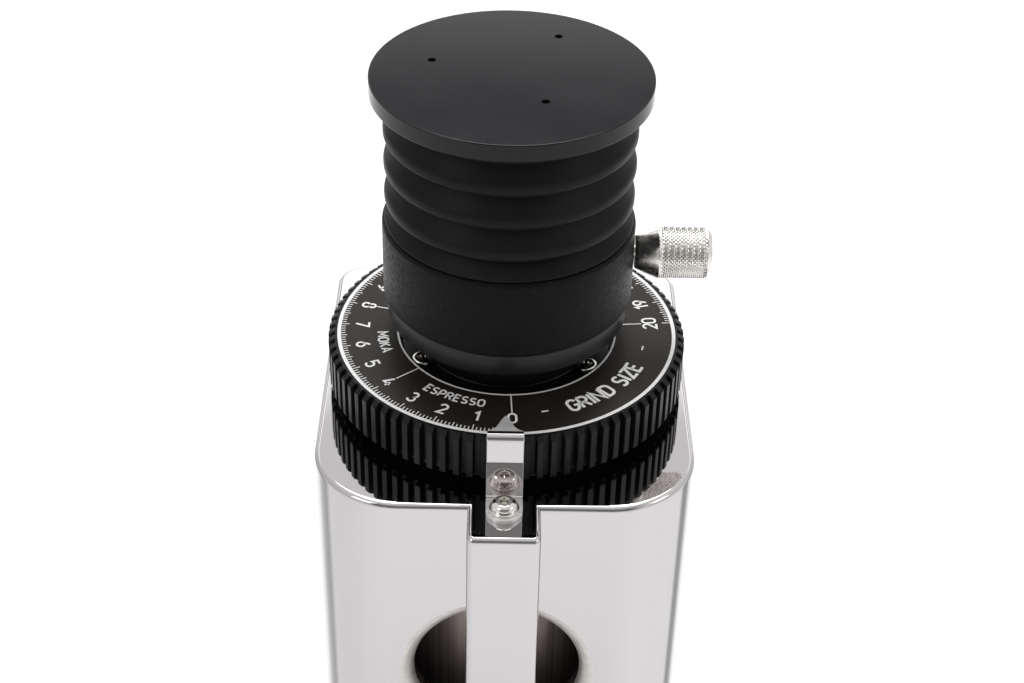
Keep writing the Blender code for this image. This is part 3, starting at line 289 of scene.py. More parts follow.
def make_paints():
    paints = {}

    p = Paint("polished_steel", (0.60, 0.578, 0.582), 0.04, metallic=1.0)
    p.vary_rough(p.noise(60, 5), 0.015)
    p.bump(p.noise(14, 2, (1, 1, 0.5)), 0.25, 0.0006)
    p.vary_colour(p.noise(9, 2), 0.97, 1.02)
    # Painted reflections: dark lines at the rounded corners, multiplied into the base colour according to how
    # far the normal faces sideways.
    facing = p.add("ShaderNodeSeparateXYZ")
    p.link(p.add("ShaderNodeNewGeometry").outputs["Normal"], facing.inputs["Vector"])
    lines = p.add("ShaderNodeValToRGB")
    set_stops(lines.color_ramp, PAINTED_CORNER_REFLECTIONS)
    half = p.add("ShaderNodeMath", operation="MULTIPLY_ADD")
    half.inputs[1].default_value = half.inputs[2].default_value = 0.5
    p.link(facing.outputs["X"], half.inputs[0])
    p.link(half.outputs[0], lines.inputs["Fac"])
    painted_reflection_tint = p.add("ShaderNodeMix", data_type="RGBA", blend_type="MULTIPLY")
    painted_reflection_tint.inputs["Factor"].default_value = 1.0
    sockets = [socket for socket in painted_reflection_tint.inputs if socket.type == "RGBA"]
    p.link(p.shader.inputs["Base Color"].links[0].from_socket, sockets[0])
    p.link(lines.outputs["Color"], sockets[1])
    p.link(next(socket for socket in painted_reflection_tint.outputs if socket.type == "RGBA"), p.shader.inputs["Base Color"])
    paints["polished_steel"] = p

    p = Paint("dark_brushed_steel", (0.34, 0.285, 0.265), 0.42, metallic=0.6)
    lines = p.noise(900, 3, (1, 1, 0.004))
    p.vary_rough(lines, 0.1)
    p.vary_colour(lines, 0.75, 1.3)
    p.bump(lines, 0.35, 0.0001)
    paints["dark_brushed_steel"] = p

    p = Paint("knurled_steel", (0.80, 0.775, 0.74), 0.22, metallic=1.0)
    p.vary_rough(p.noise(700, 4), 0.07)
    p.vary_colour(p.noise(300, 3), 0.9, 1.05)
    p.bump(p.noise(2500, 2), 0.15, 0.00004)
    paints["knurled_steel"] = p

    p = Paint("satin_steel", (0.80, 0.78, 0.775), 0.42, metallic=0.55)
    grain = p.noise(900, 3, (0.05, 1, 1))
    p.vary_rough(grain, 0.08)
    p.vary_colour(grain, 0.9, 1.05)
    p.bump(grain, 0.12, 0.00005)
    paints["satin_steel"] = p

    p = Paint("lip_steel", (0.80, 0.77, 0.73), 0.38, metallic=0.5)
    p.vary_rough(p.noise(500, 4), 0.06)
    p.vary_colour(p.noise(260, 3), 0.88, 1.05)
    p.bump(p.noise(1200, 2), 0.08, 0.00004)
    paints["lip_steel"] = p

    p = Paint("screw_steel", (0.74, 0.715, 0.68), 0.09, metallic=1.0)
    p.vary_rough(p.noise(500, 4), 0.03)
    p.vary_colour(p.noise(300, 3), 0.92, 1.04)
    p.bump(p.noise(900, 2), 0.12, 0.00004)
    paints["screw_steel"] = p

    p = Paint("black_anodised", (0.0065, 0.0056, 0.0075), 0.1, specular=0.26)
    p.vary_rough(p.noise(40, 4), 0.02)
    p.vary_colour(p.noise(2600, 2), 0.85, 1.2)
    p.bump(p.noise(3200, 2), 0.22, 0.00006)
    paints["black_anodised"] = p

    p = Paint("gloss_black", (0.0045, 0.0045, 0.0047), 0.34, specular=0.35)
    p.vary_rough(p.noise(90, 4), 0.03)
    p.vary_colour(p.noise(30, 3), 0.8, 1.2)
    p.bump(p.noise(150, 2), 0.03, 0.00005)
    paints["gloss_black"] = p

    p = Paint("silicone", (0.0095, 0.0091, 0.0094), 0.4, specular=0.08)
    p.vary_rough(p.noise(55, 5), 0.07)
    p.vary_colour(p.noise(25, 4), 0.8, 1.25)
    p.bump(p.noise(1800, 3), 0.16, 0.00008)
    paints["silicone"] = p

    p = Paint("textured_black", (0.0055, 0.0055, 0.0056), 0.4, specular=0.07)
    grain = p.noise(1500, 3)
    p.vary_rough(p.noise(700, 3), 0.12)
    p.vary_colour(grain, 0.7, 1.7, 0.35, 0.75)
    p.bump(grain, 0.7, 0.00022)
    p.bump(p.noise(420, 2), 0.25, 0.0003)
    paints["textured_black"] = p

    p = Paint("rubber", (0.016, 0.016, 0.016), 0.75, specular=0.35)
    p.vary_rough(p.noise(200, 4), 0.08)
    p.vary_colour(p.noise(80, 4), 0.75, 1.3)
    p.bump(p.noise(1500, 3), 0.3, 0.0001)
    paints["rubber"] = p

    p = Paint("ring_black", (0.0058, 0.0058, 0.006), 0.36, specular=0.16)
    p.vary_rough(p.noise(500, 4, (1, 1, 0.12)), 0.08)
    p.vary_colour(p.noise(260, 4, (1, 1, 0.3)), 0.75, 1.3)
    p.bump(p.noise(2200, 3, (1, 1, 0.25)), 0.25, 0.00006)
    paints["ring_black"] = p

    p = Paint("scale_print", (0.016, 0.0118, 0.0092), 0.4, specular=0.16)
    p.vary_rough(p.noise(900, 3), 0.06)
    p.vary_colour(p.noise(2600, 2), 0.55, 1.5)
    p.bump(p.noise(2800, 2), 0.15, 0.00004)
    paints["scale_print"] = p

    p = Paint("scale_ink", (0.82, 0.81, 0.80), 0.5)
    p.vary_rough(p.noise(600, 3), 0.05)
    p.vary_colour(p.noise(1500, 3), 0.9, 1.06)
    p.bump(p.noise(1800, 2), 0.08, 0.00003)
    paints["scale_ink"] = p

    p = Paint("cast_aluminium", (0.60, 0.60, 0.61), 0.42, metallic=1.0)
    p.vary_rough(p.noise(250, 4), 0.09)
    p.vary_colour(p.noise(120, 4), 0.85, 1.06)
    p.bump(p.noise(1100, 3), 0.3, 0.0001)
    paints["cast_aluminium"] = p

    p = Paint("burr_steel", (0.52, 0.52, 0.53), 0.28, metallic=1.0)
    p.vary_rough(p.noise(900, 3), 0.08)
    p.vary_colour(p.noise(200, 3), 0.88, 1.06)
    p.bump(p.noise(1600, 2), 0.2, 0.00005)
    paints["burr_steel"] = p

    p = Paint("motor_steel", (0.34, 0.34, 0.35), 0.48, metallic=1.0)
    p.vary_rough(p.noise(300, 4), 0.1)
    p.vary_colour(p.noise(90, 4), 0.8, 1.1)
    p.bump(p.noise(900, 3), 0.25, 0.0001)
    paints["motor_steel"] = p

    p = Paint("windings", (0.52, 0.21, 0.08), 0.4, metallic=0.7, coat=0.4)
    turns = p.noise(700, 2, (1, 1, 0.05))
    p.vary_rough(turns, 0.1)
    p.vary_colour(turns, 0.6, 1.2)
    p.bump(turns, 0.6, 0.0004)
    paints["windings"] = p

    p = Paint("black_plastic", (0.019, 0.019, 0.02), 0.46)
    p.vary_rough(p.noise(350, 4), 0.06)
    p.vary_colour(p.noise(70, 3), 0.8, 1.25)
    p.bump(p.noise(1500, 3), 0.22, 0.00008)
    paints["black_plastic"] = p
    return paints


PAINTS = make_paints()


# ---- Pieces ----
def mesh_object(name, shape, place=(0, 0, 0), turn=None, about_axis=True):
    mesh = bpy.data.meshes.new(name)
    mesh.from_pydata(shape[0], [], shape[1])
    if turn:
        mesh.transform(turn)
    x, y, z = place
    mesh.transform(Matrix.Translation((x + (AX if about_axis else 0), y + (AY if about_axis else 0), z)))
    bm = bmesh.new()
    bm.from_mesh(mesh)
    bmesh.ops.recalc_face_normals(bm, faces=bm.faces)
    bm.to_mesh(mesh)
    bm.free()
    thing = bpy.data.objects.new(name, mesh)
    bpy.context.scene.collection.objects.link(thing)
    return thing


def smooth(thing, degrees=35):
    thing.data.shade_smooth()
    thing.data.set_sharp_from_angle(angle=math.radians(degrees))


def piece(name, shape, paint, body=ROOT, nodes=(), place=(0, 0, 0), turn=None, degrees=35, bevel=0.0,
          slot=None, weighted=False, cutters=()):
    """A shown piece that rides on a body and stands for CAD nodes."""
    thing = mesh_object(name, shape, place, turn)
    finish_piece(thing, paint, body, nodes, degrees, bevel, weighted, cutters)
    return thing


def finish_piece(thing, paint, body=ROOT, nodes=(), degrees=35, bevel=0.0, weighted=False,
                 cutters=()):
    for cutter in cutters:
        boolean(thing, cutter)
    smooth(thing, degrees)
    if bevel:
        step = thing.modifiers.new("edge", "BEVEL")
        step.width = bevel
        step.segments = 3
        step.limit_method = "ANGLE"
        step.angle_limit = math.radians(30)
        step.harden_normals = False
    if weighted or bevel:
        step = thing.modifiers.new("normals", "WEIGHTED_NORMAL")
        step.keep_sharp = not bevel
        step.weight = 100
        if bevel:
            thing.data.shade_smooth()
    thing.data.materials.clear()
    thing.data.materials.append(PAINTS[paint].material)
    if body:
        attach(thing, body)
        if nodes:
            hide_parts(*nodes)


def boolean(target, cutter, operation="DIFFERENCE"):
    """Applies the cut at once, and removes the cutter."""
    step = target.modifiers.new("cut", "BOOLEAN")
    step.operation = operation
    step.solver = "EXACT"
    step.object = cutter
    graph = bpy.context.evaluated_depsgraph_get()
    made = bpy.data.meshes.new_from_object(target.evaluated_get(graph))
    target.modifiers.clear()
    target.data = made
    bpy.data.objects.remove(cutter)


INTO_BODY = Matrix.Rotation(math.radians(-90), 4, "X")
OUT_FRONT = Matrix.Rotation(math.radians(90), 4, "X")
ALONG_X = Matrix.Rotation(math.radians(90), 4, "Y")


def hex_screw(radius, height, across, sides=48):
    """A button head on z = 0 with a hexagon socket."""
    socket = across / 2
    depth = height * 0.75
    rows = [(radius, 0.0), (radius, height * 0.14)]
    for k in range(1, 11):
        angle = math.radians(90 * k / 10)
        r = radius - (radius - socket * 1.3) * (1 - math.cos(angle))
        rows.append((r, height * (0.14 + 0.86 * math.sin(angle) ** 0.9)))
    loops = [circle(r, z, sides) for r, z in rows]

    def hexagon(scale, z):
        ring = []
        for k in range(sides):
            angle = 2 * math.pi * k / sides
            off = (angle + math.pi / 6) % (math.pi / 3) - math.pi / 6
            r = socket * scale / math.cos(off)
            ring.append((r * math.cos(angle), r * math.sin(angle), z))
        return ring

    loops += [hexagon(1.1, height), hexagon(1.0, height * 0.96), hexagon(1.0, height - depth),
              hexagon(0.2, height - depth - socket * 0.3)]
    return lofted([circle(radius * 0.55, 0.0, sides)] + loops)


def swap(name, paint, shape=None, body=ROOT, **how):
    """A finer piece in place of the CAD node of the same name."""
    return piece(f"{name}_skin", shape, paint, body, (name,), **how)


# ---- Base, feet, mat and cup ----
def build_base():
    z0, z1 = low("base_plate").z, high("base_plate").z
    front = low("base_plate").y - AY

    def plate(inset):
        return rounded_rect(BODY_HALF, front, BODY_BACK, FRONT_CORNER, REAR_CORNER, inset)

    swap("base_plate", "polished_steel", top_rounded(plate, z0, z1, 2 * MM), weighted=True)
    for name in ("foot_front_left", "foot_front_right", "foot_rear_left", "foot_rear_right"):
        lo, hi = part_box(name)
        r = (hi.x - lo.x) / 2
        profile = [(0, 0.6 * MM), (r * 0.45, 0.6 * MM), (r * 0.5, 0)]
        edge = [(r * 0.5, 0), (r * 0.86, 0), (r, hi.z * 0.75), (r, hi.z), (0, hi.z)]
        profile += filleted(edge, [0, MM, MM, 0, 0], 4)[1:]
        swap(name, "rubber", turned(profile, 64), place=((lo.x + hi.x) / 2 - AX, (lo.y + hi.y) / 2 - AY, 0))
    lo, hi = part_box("cup_mat")
    mx = (hi.x - lo.x) / 2
    y0, y1 = lo.y - AY, hi.y - AY

    corner = 10 * MM

    def mat(inset):
        return rounded_rect(mx, y0, y1, corner, corner, inset, 10)

    top = hi.z
    swap("cup_mat", "rubber", top_rounded(mat, lo.z, top - 0.5 * MM, 0.3 * MM, 3), weighted=True)
    bars_v, bars_f = [], []
    ribs, rib_half, margin = 15, MM, 4 * MM
    for k in range(ribs):
        x = -mx + margin + (2 * mx - 2 * margin) * k / (ribs - 1)
        inset = 3.5 * MM + max(0, corner - (mx - abs(x))) * 0.55
        x0, x1, ya, yb = x - rib_half, x + rib_half, y0 + inset, y1 - inset
        rib = filleted([(x0, ya), (x1, ya), (x1, yb), (x0, yb)], 0.95 * MM, 4)
        loops = [[(x, y, z) for x, y in rib] for z in (top - 0.55 * MM, top - 0.08 * MM, top)]
        loops[2] = shrink(loops[2], 0.15 * MM)
        add(bars_v, bars_f, lofted(loops))
    piece("cup_mat_ribs", (bars_v, bars_f), "rubber", slot="rubber")


def shrink(loop, amount):
    """The loop drawn in towards its middle."""
    cx = sum(p[0] for p in loop) / len(loop)
    cy = sum(p[1] for p in loop) / len(loop)
    out = []
    for x, y, z in loop:
        d = math.hypot(x - cx, y - cy)
        f = (d - amount) / d
        out.append((cx + (x - cx) * f, cy + (y - cy) * f, z))
    return out


def add(vertices, faces, shape):
    """Adds a shape to the lists of one mesh."""
    start = len(vertices)
    vertices += [tuple(v) for v in shape[0]]
    faces += [[i + start for i in f] for f in shape[1]]


def build_cup():
    lo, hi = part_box("dosing_cup")
    r = 29 * MM
    h = hi.z - lo.z
    wall = 1.2 * MM
    profile = filleted(
        [(0, 0.8 * MM), (r - 6 * MM, 0.8 * MM), (r - 5.3 * MM, 0), (r, 0), (r, h), (r - wall, h),
         (r - wall, 2 * MM), (0, 2 * MM)],
        [0, 0.5 * MM, 0.5 * MM, 2.2 * MM, 0.5 * MM, 0.5 * MM, 4 * MM, 0], 6)
    swap("dosing_cup", "polished_steel", turned(profile, 128), "cup", place=(0, CUP_Y, lo.z))


# ---- Housing ----
def build_housing():
    radius = 2.0 * MM

    def body(inset):
        return rounded_rect(BODY_HALF, BODY_FRONT, BODY_BACK, FRONT_CORNER, REAR_CORNER, inset, 28)

    def rib(inset):
        return rounded_rect(RIB_HALF, RIB_FRONT, -54 * MM, 2.5 * MM, 0.3 * MM, inset, 10)

    shell = mesh_object("housing_skin", top_rounded(body, BODY_LOW, BODY_TOP, radius, 10))
    boolean(shell, mesh_object("r", top_rounded(rib, RIB_LOW, BODY_TOP, radius, 10)), "UNION")
    ceiling = BODY_TOP - WALL
    room = rounded_rect(BODY_HALF - WALL, BODY_FRONT + WALL, BODY_BACK - WALL,
                        FRONT_CORNER - WALL, REAR_CORNER - WALL, 0, 28)
    boolean(shell, mesh_object("r", prism(room, BODY_LOW - 5 * MM, ceiling)))
    inside = RIB_HALF - WALL
    hollow = block((-inside, inside), (RIB_FRONT + WALL, -55 * MM), (RIB_LOW - WALL, ceiling))
    boolean(shell, mesh_object("r", hollow))
    bore = 45.6 * MM
    neck = [(0, ceiling - WALL), (bore, ceiling - WALL), (bore, BODY_TOP + WALL), (0, BODY_TOP + WALL)]
    boolean(shell, mesh_object("r", turned(neck, 96)))
    reach = 10 * MM
    rear = block((-47 * MM, 47 * MM), (BODY_BACK - reach, BODY_BACK + reach), (50 * MM, 225 * MM))
    boolean(shell, mesh_object("r", rear))
    lo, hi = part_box("switch_frame")
    y, z = (lo.y + hi.y) / 2 - AY, (lo.z + hi.z) / 2
    half_y, half_z = 6.6 * MM, 9.6 * MM
    side = block((BODY_HALF - reach, BODY_HALF + reach), (y - half_y, y + half_y), (z - half_z, z + half_z))
    boolean(shell, mesh_object("r", side))

    # The rolled window rim: a ring behind the sheet and a lathe cut with a round lip.
    r, lip = 29 * MM, 4.5 * MM
    out = r + lip
    window = (WINDOW_X, BODY_FRONT, WINDOW_Z)
    quarter = [math.radians(90 * k / 12) for k in range(13)]
    ring = [(r - lip, WALL / 2), (out + WALL, WALL / 2), (out + WALL, 9 * MM), (r - lip, 9 * MM)]
    boolean(shell, mesh_object("r", turned(ring, 128), window, INTO_BODY), "UNION")
    cut = [(0, -0.06 * MM), (out, -0.06 * MM)]
    cut += [(out - lip * math.sin(a), lip * (1 - math.cos(a))) for a in quarter]
    cut += [(r, 16 * MM), (0, 16 * MM)]
    boolean(shell, mesh_object("r", turned(cut, 128), window, INTO_BODY))
    finish_piece(shell, "polished_steel", ROOT, ("housing",), 32, weighted=True)

    face = [(out - lip * math.sin(a) - 0.06 * MM, lip * (1 - math.cos(a)) - 0.02 * MM) for a in quarter]
    back = [(x + 0.1 * MM, y + 0.25 * MM) for x, y in reversed(face)]
    lip_profile = [(out + 0.1 * MM, -0.05 * MM)] + face + back
    piece("window_lip", turned(lip_profile, 160), "lip_steel", slot="polished_steel", place=window,
          turn=INTO_BODY)


# ---- Rear cover, inlet and switch ----
def build_rear():
    for name in ("rear_cover", "power_inlet", "switch_frame", "switch_rocker", "portafilter_fork",
                 "chute_duct"):
        node = NODES[name]
        step = node.modifiers.new("edge", "BEVEL")
        step.width = 0.35 * MM if name != "portafilter_fork" else 0.8 * MM
        step.segments = 3
        step.limit_method = "ANGLE"
        step.angle_limit = math.radians(40)
        step = node.modifiers.new("normals", "WEIGHTED_NORMAL")
        step.weight = 100
    for name in ("cover_screw_top_left", "cover_screw_top_right",
                 "cover_screw_bottom_left", "cover_screw_bottom_right"):
        lo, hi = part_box(name)
        place = ((lo.x + hi.x) / 2 - AX, high("rear_cover").y - AY + 0.02 * MM, (lo.z + hi.z) / 2)
        screw = hex_screw(2.8 * MM, 1.7 * MM, 2.0 * MM)
        swap(name, "screw_steel", slot="knurled_steel", shape=screw, place=place, turn=INTO_BODY)
    for name in ("fork_screw_left", "fork_screw_right"):
        lo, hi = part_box(name)
        place = ((lo.x + hi.x) / 2 - AX, lo.y - AY + 3.0 * MM, (lo.z + hi.z) / 2)
        screw = hex_screw(4.6 * MM, 2.75 * MM, 3.0 * MM)
        swap(name, "screw_steel", slot="knurled_steel", shape=screw, place=place, turn=OUT_FRONT)


# ---- Spout ----
def build_spout():
    middle_y, half_depth = -78.15 * MM, 7.85 * MM
    top, drop = high("spout").z, high("spout").z - low("spout").z
    mouth = 11 * MM

    def section(share, wall):
        half_x = RIB_HALF + (mouth - RIB_HALF) * share - wall
        half_y = half_depth + (mouth - half_depth) * share - wall
        centre = middle_y + (CUP_Y - middle_y) * share
        power = 2 / (8 - 6 * share)
        points = []
        for k in range(72):
            angle = 2 * math.pi * (k + 0.5) / 72
            c, s = math.cos(angle), math.sin(angle)
            points.append((half_x * math.copysign(abs(c) ** power, c),
                           centre + half_y * math.copysign(abs(s) ** power, s), top - drop * share))
        return points

    shares = [k / 12 for k in range(13)]
    loops = [section(s, 0.0) for s in shares] + [section(s, WALL) for s in reversed(shares)]
    swap("spout", "gloss_black", lofted(loops, tube=True))


# ---- Motor behind the window ----
def build_motor():
    z0, z1 = low("motor_can").z, high("motor_can").z
    r, bore = 52 * MM, 7 * MM
    under = z1 - 2 * MM
    profile = filleted([(r, z1), (r, z0), (r - WALL, z0), (r - WALL, under), (bore, under), (bore, z1)],
                       [1.5 * MM, 0.3 * MM, 0.3 * MM, 0, 0, 0], 5)
    swap("motor_can", "dark_brushed_steel", turned(profile, 160))


# ---- Setting ring ----
def ring_outline(tip, root):
    """Square teeth with slightly broken corners."""
    teeth, pitch = 84, 2 * math.pi / 84
    points = []
    for k in range(teeth):
        middle = (k + 0.5) * pitch
        for share, depth in ((-0.30, 1.0), (-0.27, 0.93), (-0.245, 0.10), (-0.215, 0.0),
                             (0.215, 0.0), (0.245, 0.10), (0.27, 0.93), (0.30, 1.0)):
            radius = tip - (tip - root) * depth
            angle = middle + share * pitch
            points.append((radius * math.cos(angle), radius * math.sin(angle)))
    return points


def build_ring():
    tip, root = RING_TIP, 59.6 * MM
    bore, recess = 37.5 * MM, 59.05 * MM
    z0, z1 = RING_LOW, DISC_TOP
    loops = []
    for z, cap in ((z0, tip - 0.4 * MM), (z0 + 0.4 * MM, tip), (z1 - 1.5 * MM, tip),
                   (z1 - 1.1 * MM, 61.5 * MM), (z1 - 0.25 * MM, 60.35 * MM), (z1, 60.05 * MM)):
        loop = []
        for x, y in ring_outline(tip, root):
            d = math.hypot(x, y)
            f = min(1.0, cap / d)
            loop.append((x * f, y * f, z))
        loops.append(loop)
    for radius, z in ((recess, z1), (recess, z1 - 1.1 * MM), (bore, z1 - 1.1 * MM), (bore, z0)):
        loops.append([(radius * math.cos(a), radius * math.sin(a), z)
                      for a in (math.atan2(p[1], p[0]) for p in loops[0])])
    swap("adjustment_ring", "ring_black", lofted(loops, tube=True), "setting_ring", degrees=28)
    disc = filleted([(37.45 * MM, z1), (58.95 * MM, z1), (58.95 * MM, z1 - MM), (37.45 * MM, z1 - MM)],
                    [0.25 * MM, 0.1 * MM, 0, 0], 3)
    swap("scale_disc", "scale_print", turned(disc, 180), "setting_ring")


# ---- Print on the scale: strokes drawn as thin raised ribbons ----
def oval(cx, cy, rx, ry, start, end, steps=10):
    return [(cx + rx * math.cos(math.radians(start + (end - start) * k / steps)),
             cy + ry * math.sin(math.radians(start + (end - start) * k / steps))) for k in range(steps + 1)]


def bowl(x0, x1, y0, y1):
    """The right-hand bowl of letters such as P and R."""
    r = (y1 - y0) / 2
    return [(x0, y1), (x1 - r, y1)] + oval(x1 - r, (y0 + y1) / 2, r, r, 90, -90, 8) + [(x0, y0)]


# Each letter: its width and its strokes, for a height of 1.
GLYPHS = {
    "0": (0.56, [oval(0.28, 0.70, 0.28, 0.30, 0, 180) + oval(0.28, 0.30, 0.28, 0.30, 180, 360)
                 + [(0.56, 0.70)]]),
    "1": (0.40, [[(0.06, 0.78), (0.32, 1.0), (0.32, 0.0)]]),
    "2": (0.56, [oval(0.28, 0.72, 0.27, 0.28, 165, -25) + [(0.0, 0.0), (0.57, 0.0)]]),
    "3": (0.54, [oval(0.26, 0.76, 0.24, 0.24, 160, -90), oval(0.26, 0.27, 0.28, 0.27, 90, -160)]),
    "4": (0.60, [[(0.32, 1.0), (0.0, 0.24), (0.60, 0.24)], [(0.42, 0.50), (0.42, 0.0)]]),
    "5": (0.56, [[(0.52, 1.0), (0.08, 1.0), (0.05, 0.54)] + oval(0.27, 0.31, 0.28, 0.31, 118, -150)]),
    "6": (0.56, [[(0.42, 1.0), (0.10, 0.52)], oval(0.28, 0.29, 0.27, 0.29, 0, 360, 16)]),
    "7": (0.54, [[(0.0, 1.0), (0.54, 1.0), (0.18, 0.0)]]),
    "8": (0.56, [oval(0.28, 0.76, 0.23, 0.24, 0, 360, 16), oval(0.28, 0.27, 0.28, 0.27, 0, 360, 16)]),
    "9": (0.56, [[(0.14, 0.0), (0.46, 0.48)], oval(0.28, 0.71, 0.27, 0.29, 0, 360, 16)]),
    "A": (0.66, [[(0.0, 0.0), (0.33, 1.0), (0.66, 0.0)], [(0.12, 0.28), (0.54, 0.28)]]),
    "C": (0.56, [oval(0.30, 0.70, 0.28, 0.30, 20, 180) + oval(0.30, 0.30, 0.28, 0.30, 180, 340)]),
    "D": (0.58, [[(0.0, 0.0), (0.0, 1.0), (0.26, 1.0)] + oval(0.26, 0.68, 0.32, 0.32, 90, 0, 6)
                 + oval(0.26, 0.32, 0.32, 0.32, 0, -90, 6) + [(0.0, 0.0)]]),
    "E": (0.50, [[(0.50, 1.0), (0.0, 1.0), (0.0, 0.0), (0.50, 0.0)], [(0.0, 0.52), (0.44, 0.52)]]),
    "F": (0.48, [[(0.50, 1.0), (0.0, 1.0), (0.0, 0.0)], [(0.0, 0.50), (0.42, 0.50)]]),
    "G": (0.60, [oval(0.30, 0.70, 0.29, 0.30, 25, 180) + oval(0.30, 0.30, 0.29, 0.30, 180, 360)
                 + [(0.59, 0.48), (0.34, 0.48)]]),
    "I": (0.10, [[(0.05, 0.0), (0.05, 1.0)]]),
    "K": (0.58, [[(0.0, 0.0), (0.0, 1.0)], [(0.54, 1.0), (0.02, 0.42)], [(0.20, 0.60), (0.58, 0.0)]]),
    "L": (0.46, [[(0.0, 1.0), (0.0, 0.0), (0.46, 0.0)]]),
    "M": (0.74, [[(0.0, 0.0), (0.0, 1.0), (0.37, 0.35), (0.74, 1.0), (0.74, 0.0)]]),
    "N": (0.60, [[(0.0, 0.0), (0.0, 1.0), (0.60, 0.0), (0.60, 1.0)]]),
    "O": (0.60, [oval(0.30, 0.69, 0.30, 0.31, 0, 180) + oval(0.30, 0.31, 0.30, 0.31, 180, 360)
                 + [(0.60, 0.69)]]),
    "P": (0.54, [[(0.0, 0.0), (0.0, 1.0)], bowl(0.0, 0.54, 0.44, 1.0)]),
    "R": (0.56, [[(0.0, 0.0), (0.0, 1.0)], bowl(0.0, 0.54, 0.46, 1.0), [(0.28, 0.46), (0.56, 0.0)]]),
    "S": (0.54, [oval(0.27, 0.75, 0.25, 0.25, 35, 270, 10) + oval(0.27, 0.25, 0.27, 0.25, 90, -145, 10)]),
    "T": (0.56, [[(0.0, 1.0), (0.56, 1.0)], [(0.28, 1.0), (0.28, 0.0)]]),
    "Z": (0.54, [[(0.0, 1.0), (0.54, 1.0), (0.0, 0.0), (0.54, 0.0)]]),
    " ": (0.30, []),
}


class Print:
    """Ink ribbons on the disc, held as one mesh."""

    def __init__(self):
        self.vertices, self.faces = [], []
        self.low, self.high = DISC_TOP - 0.05 * MM, DISC_TOP + 0.03 * MM

    def ribbon(self, points, width):
        """A flat stroke with square ends and mitred corners."""
        closed = math.dist(points[0], points[-1]) < 1e-7
        pts = [Vector(p) for p in (points[:-1] if closed else points)]
        clean = [pts[0]]
        for p in pts[1:]:
            if (p - clean[-1]).length > 1e-6:
                clean.append(p)
        pts, n = clean, len(clean)
        left, right = [], []
        for i, p in enumerate(pts):
            before = pts[i - 1] if i or closed else None
            after = pts[(i + 1) % n] if i < n - 1 or closed else None
            d0 = (p - before).normalized() if before is not None else (after - p).normalized()
            d1 = (after - p).normalized() if after is not None else d0
            normal = Vector((-d0.y, d0.x)) + Vector((-d1.y, d1.x))
            if normal.length < 0.35:
                normal = Vector((-d0.y, d0.x))
            normal.normalize()
            reach = width / 2 / max(normal.dot(Vector((-d0.y, d0.x))), 0.45)
            left.append(p + normal * reach)
            right.append(p - normal * reach)
        loops = []
        for a, b in zip(left, right):
            loops.append([(b.x, b.y, self.low), (a.x, a.y, self.low),
                          (a.x, a.y, self.high), (b.x, b.y, self.high)])
        add(self.vertices, self.faces, lofted(loops, tube=closed))

    def arc_band(self, r0, r1, steps=240):
        profile = [(r0, self.low), (r1, self.low), (r1, self.high), (r0, self.high)]
        add(self.vertices, self.faces, turned(profile, steps))

    def text(self, words, azimuth, radius, height, stroke, gap=0.16):
        """Letters round a circle, their tops towards the middle."""
        widths = [GLYPHS[c][0] * height for c in words]
        total = sum(widths) + gap * height * (len(words) - 1)
        along = -total / 2
        for c, w in zip(words, widths):
            angle = math.radians(azimuth) + (along + w / 2) / radius
            out = Vector((math.cos(angle), math.sin(angle)))
            right = Vector((-out.y, out.x))
            middle = out * radius
            for line in GLYPHS[c][1]:
                points = [middle + right * (x * height - w / 2) - out * ((y - 0.5) * height) for x, y in line]
                self.ribbon([tuple(point) for point in points], stroke)
            along += w + gap * height

    def radial(self, azimuth, r0, r1, width):
        a = math.radians(azimuth)
        self.ribbon([(r0 * math.cos(a), r0 * math.sin(a)), (r1 * math.cos(a), r1 * math.sin(a))], width)


def build_print():
    ink = Print()
    zero, step = -87.5, -13.37  # degrees: where 0 stands, and from one number to the next
    word_radius, word_height, word_stroke, word_gap = 43.2 * MM, 3.4 * MM, 0.66 * MM, 0.28
    for n in range(21):
        ink.text(str(n), zero + step * n, 50.3 * MM, 4.6 * MM, 0.78 * MM)
    for k in range(201):
        length = 2.9 if k % 10 == 0 else (2.3 if k % 5 == 0 else 1.7)
        ink.radial(zero + step * k / 10, (57.7 - length) * MM, 57.75 * MM, 0.32 * MM)
    ink.arc_band(57.6 * MM, 58.85 * MM)
    ink.arc_band(37.5 * MM, 38.15 * MM)
    for n in (0, 4, 8, 20):
        ink.radial(zero + step * n, 38.0 * MM, 47.4 * MM, 0.42 * MM)
    for word, azimuth in (("ESPRESSO", -113.6), ("MOKA", zero + step * 6.0), ("FILTER", zero + step * 14.0)):
        ink.text(word, azimuth, word_radius, word_height, word_stroke, word_gap)
    ink.text("GRIND SIZE", -44.5, 48.2 * MM, 5.4 * MM, 1.05 * MM, 0.2)
    for azimuth in (-74.4, -12.3):
        a = math.radians(azimuth)
        out, side = Vector((math.cos(a), math.sin(a))), Vector((-math.sin(a), math.cos(a)))
        middle = out * 48 * MM
        ink.ribbon([tuple(middle - side * 1.2 * MM), tuple(middle + side * 1.2 * MM)], 0.6 * MM)
    piece("scale_ink", (ink.vertices, ink.faces), "scale_ink", "setting_ring", slot="scale_print", degrees=20)


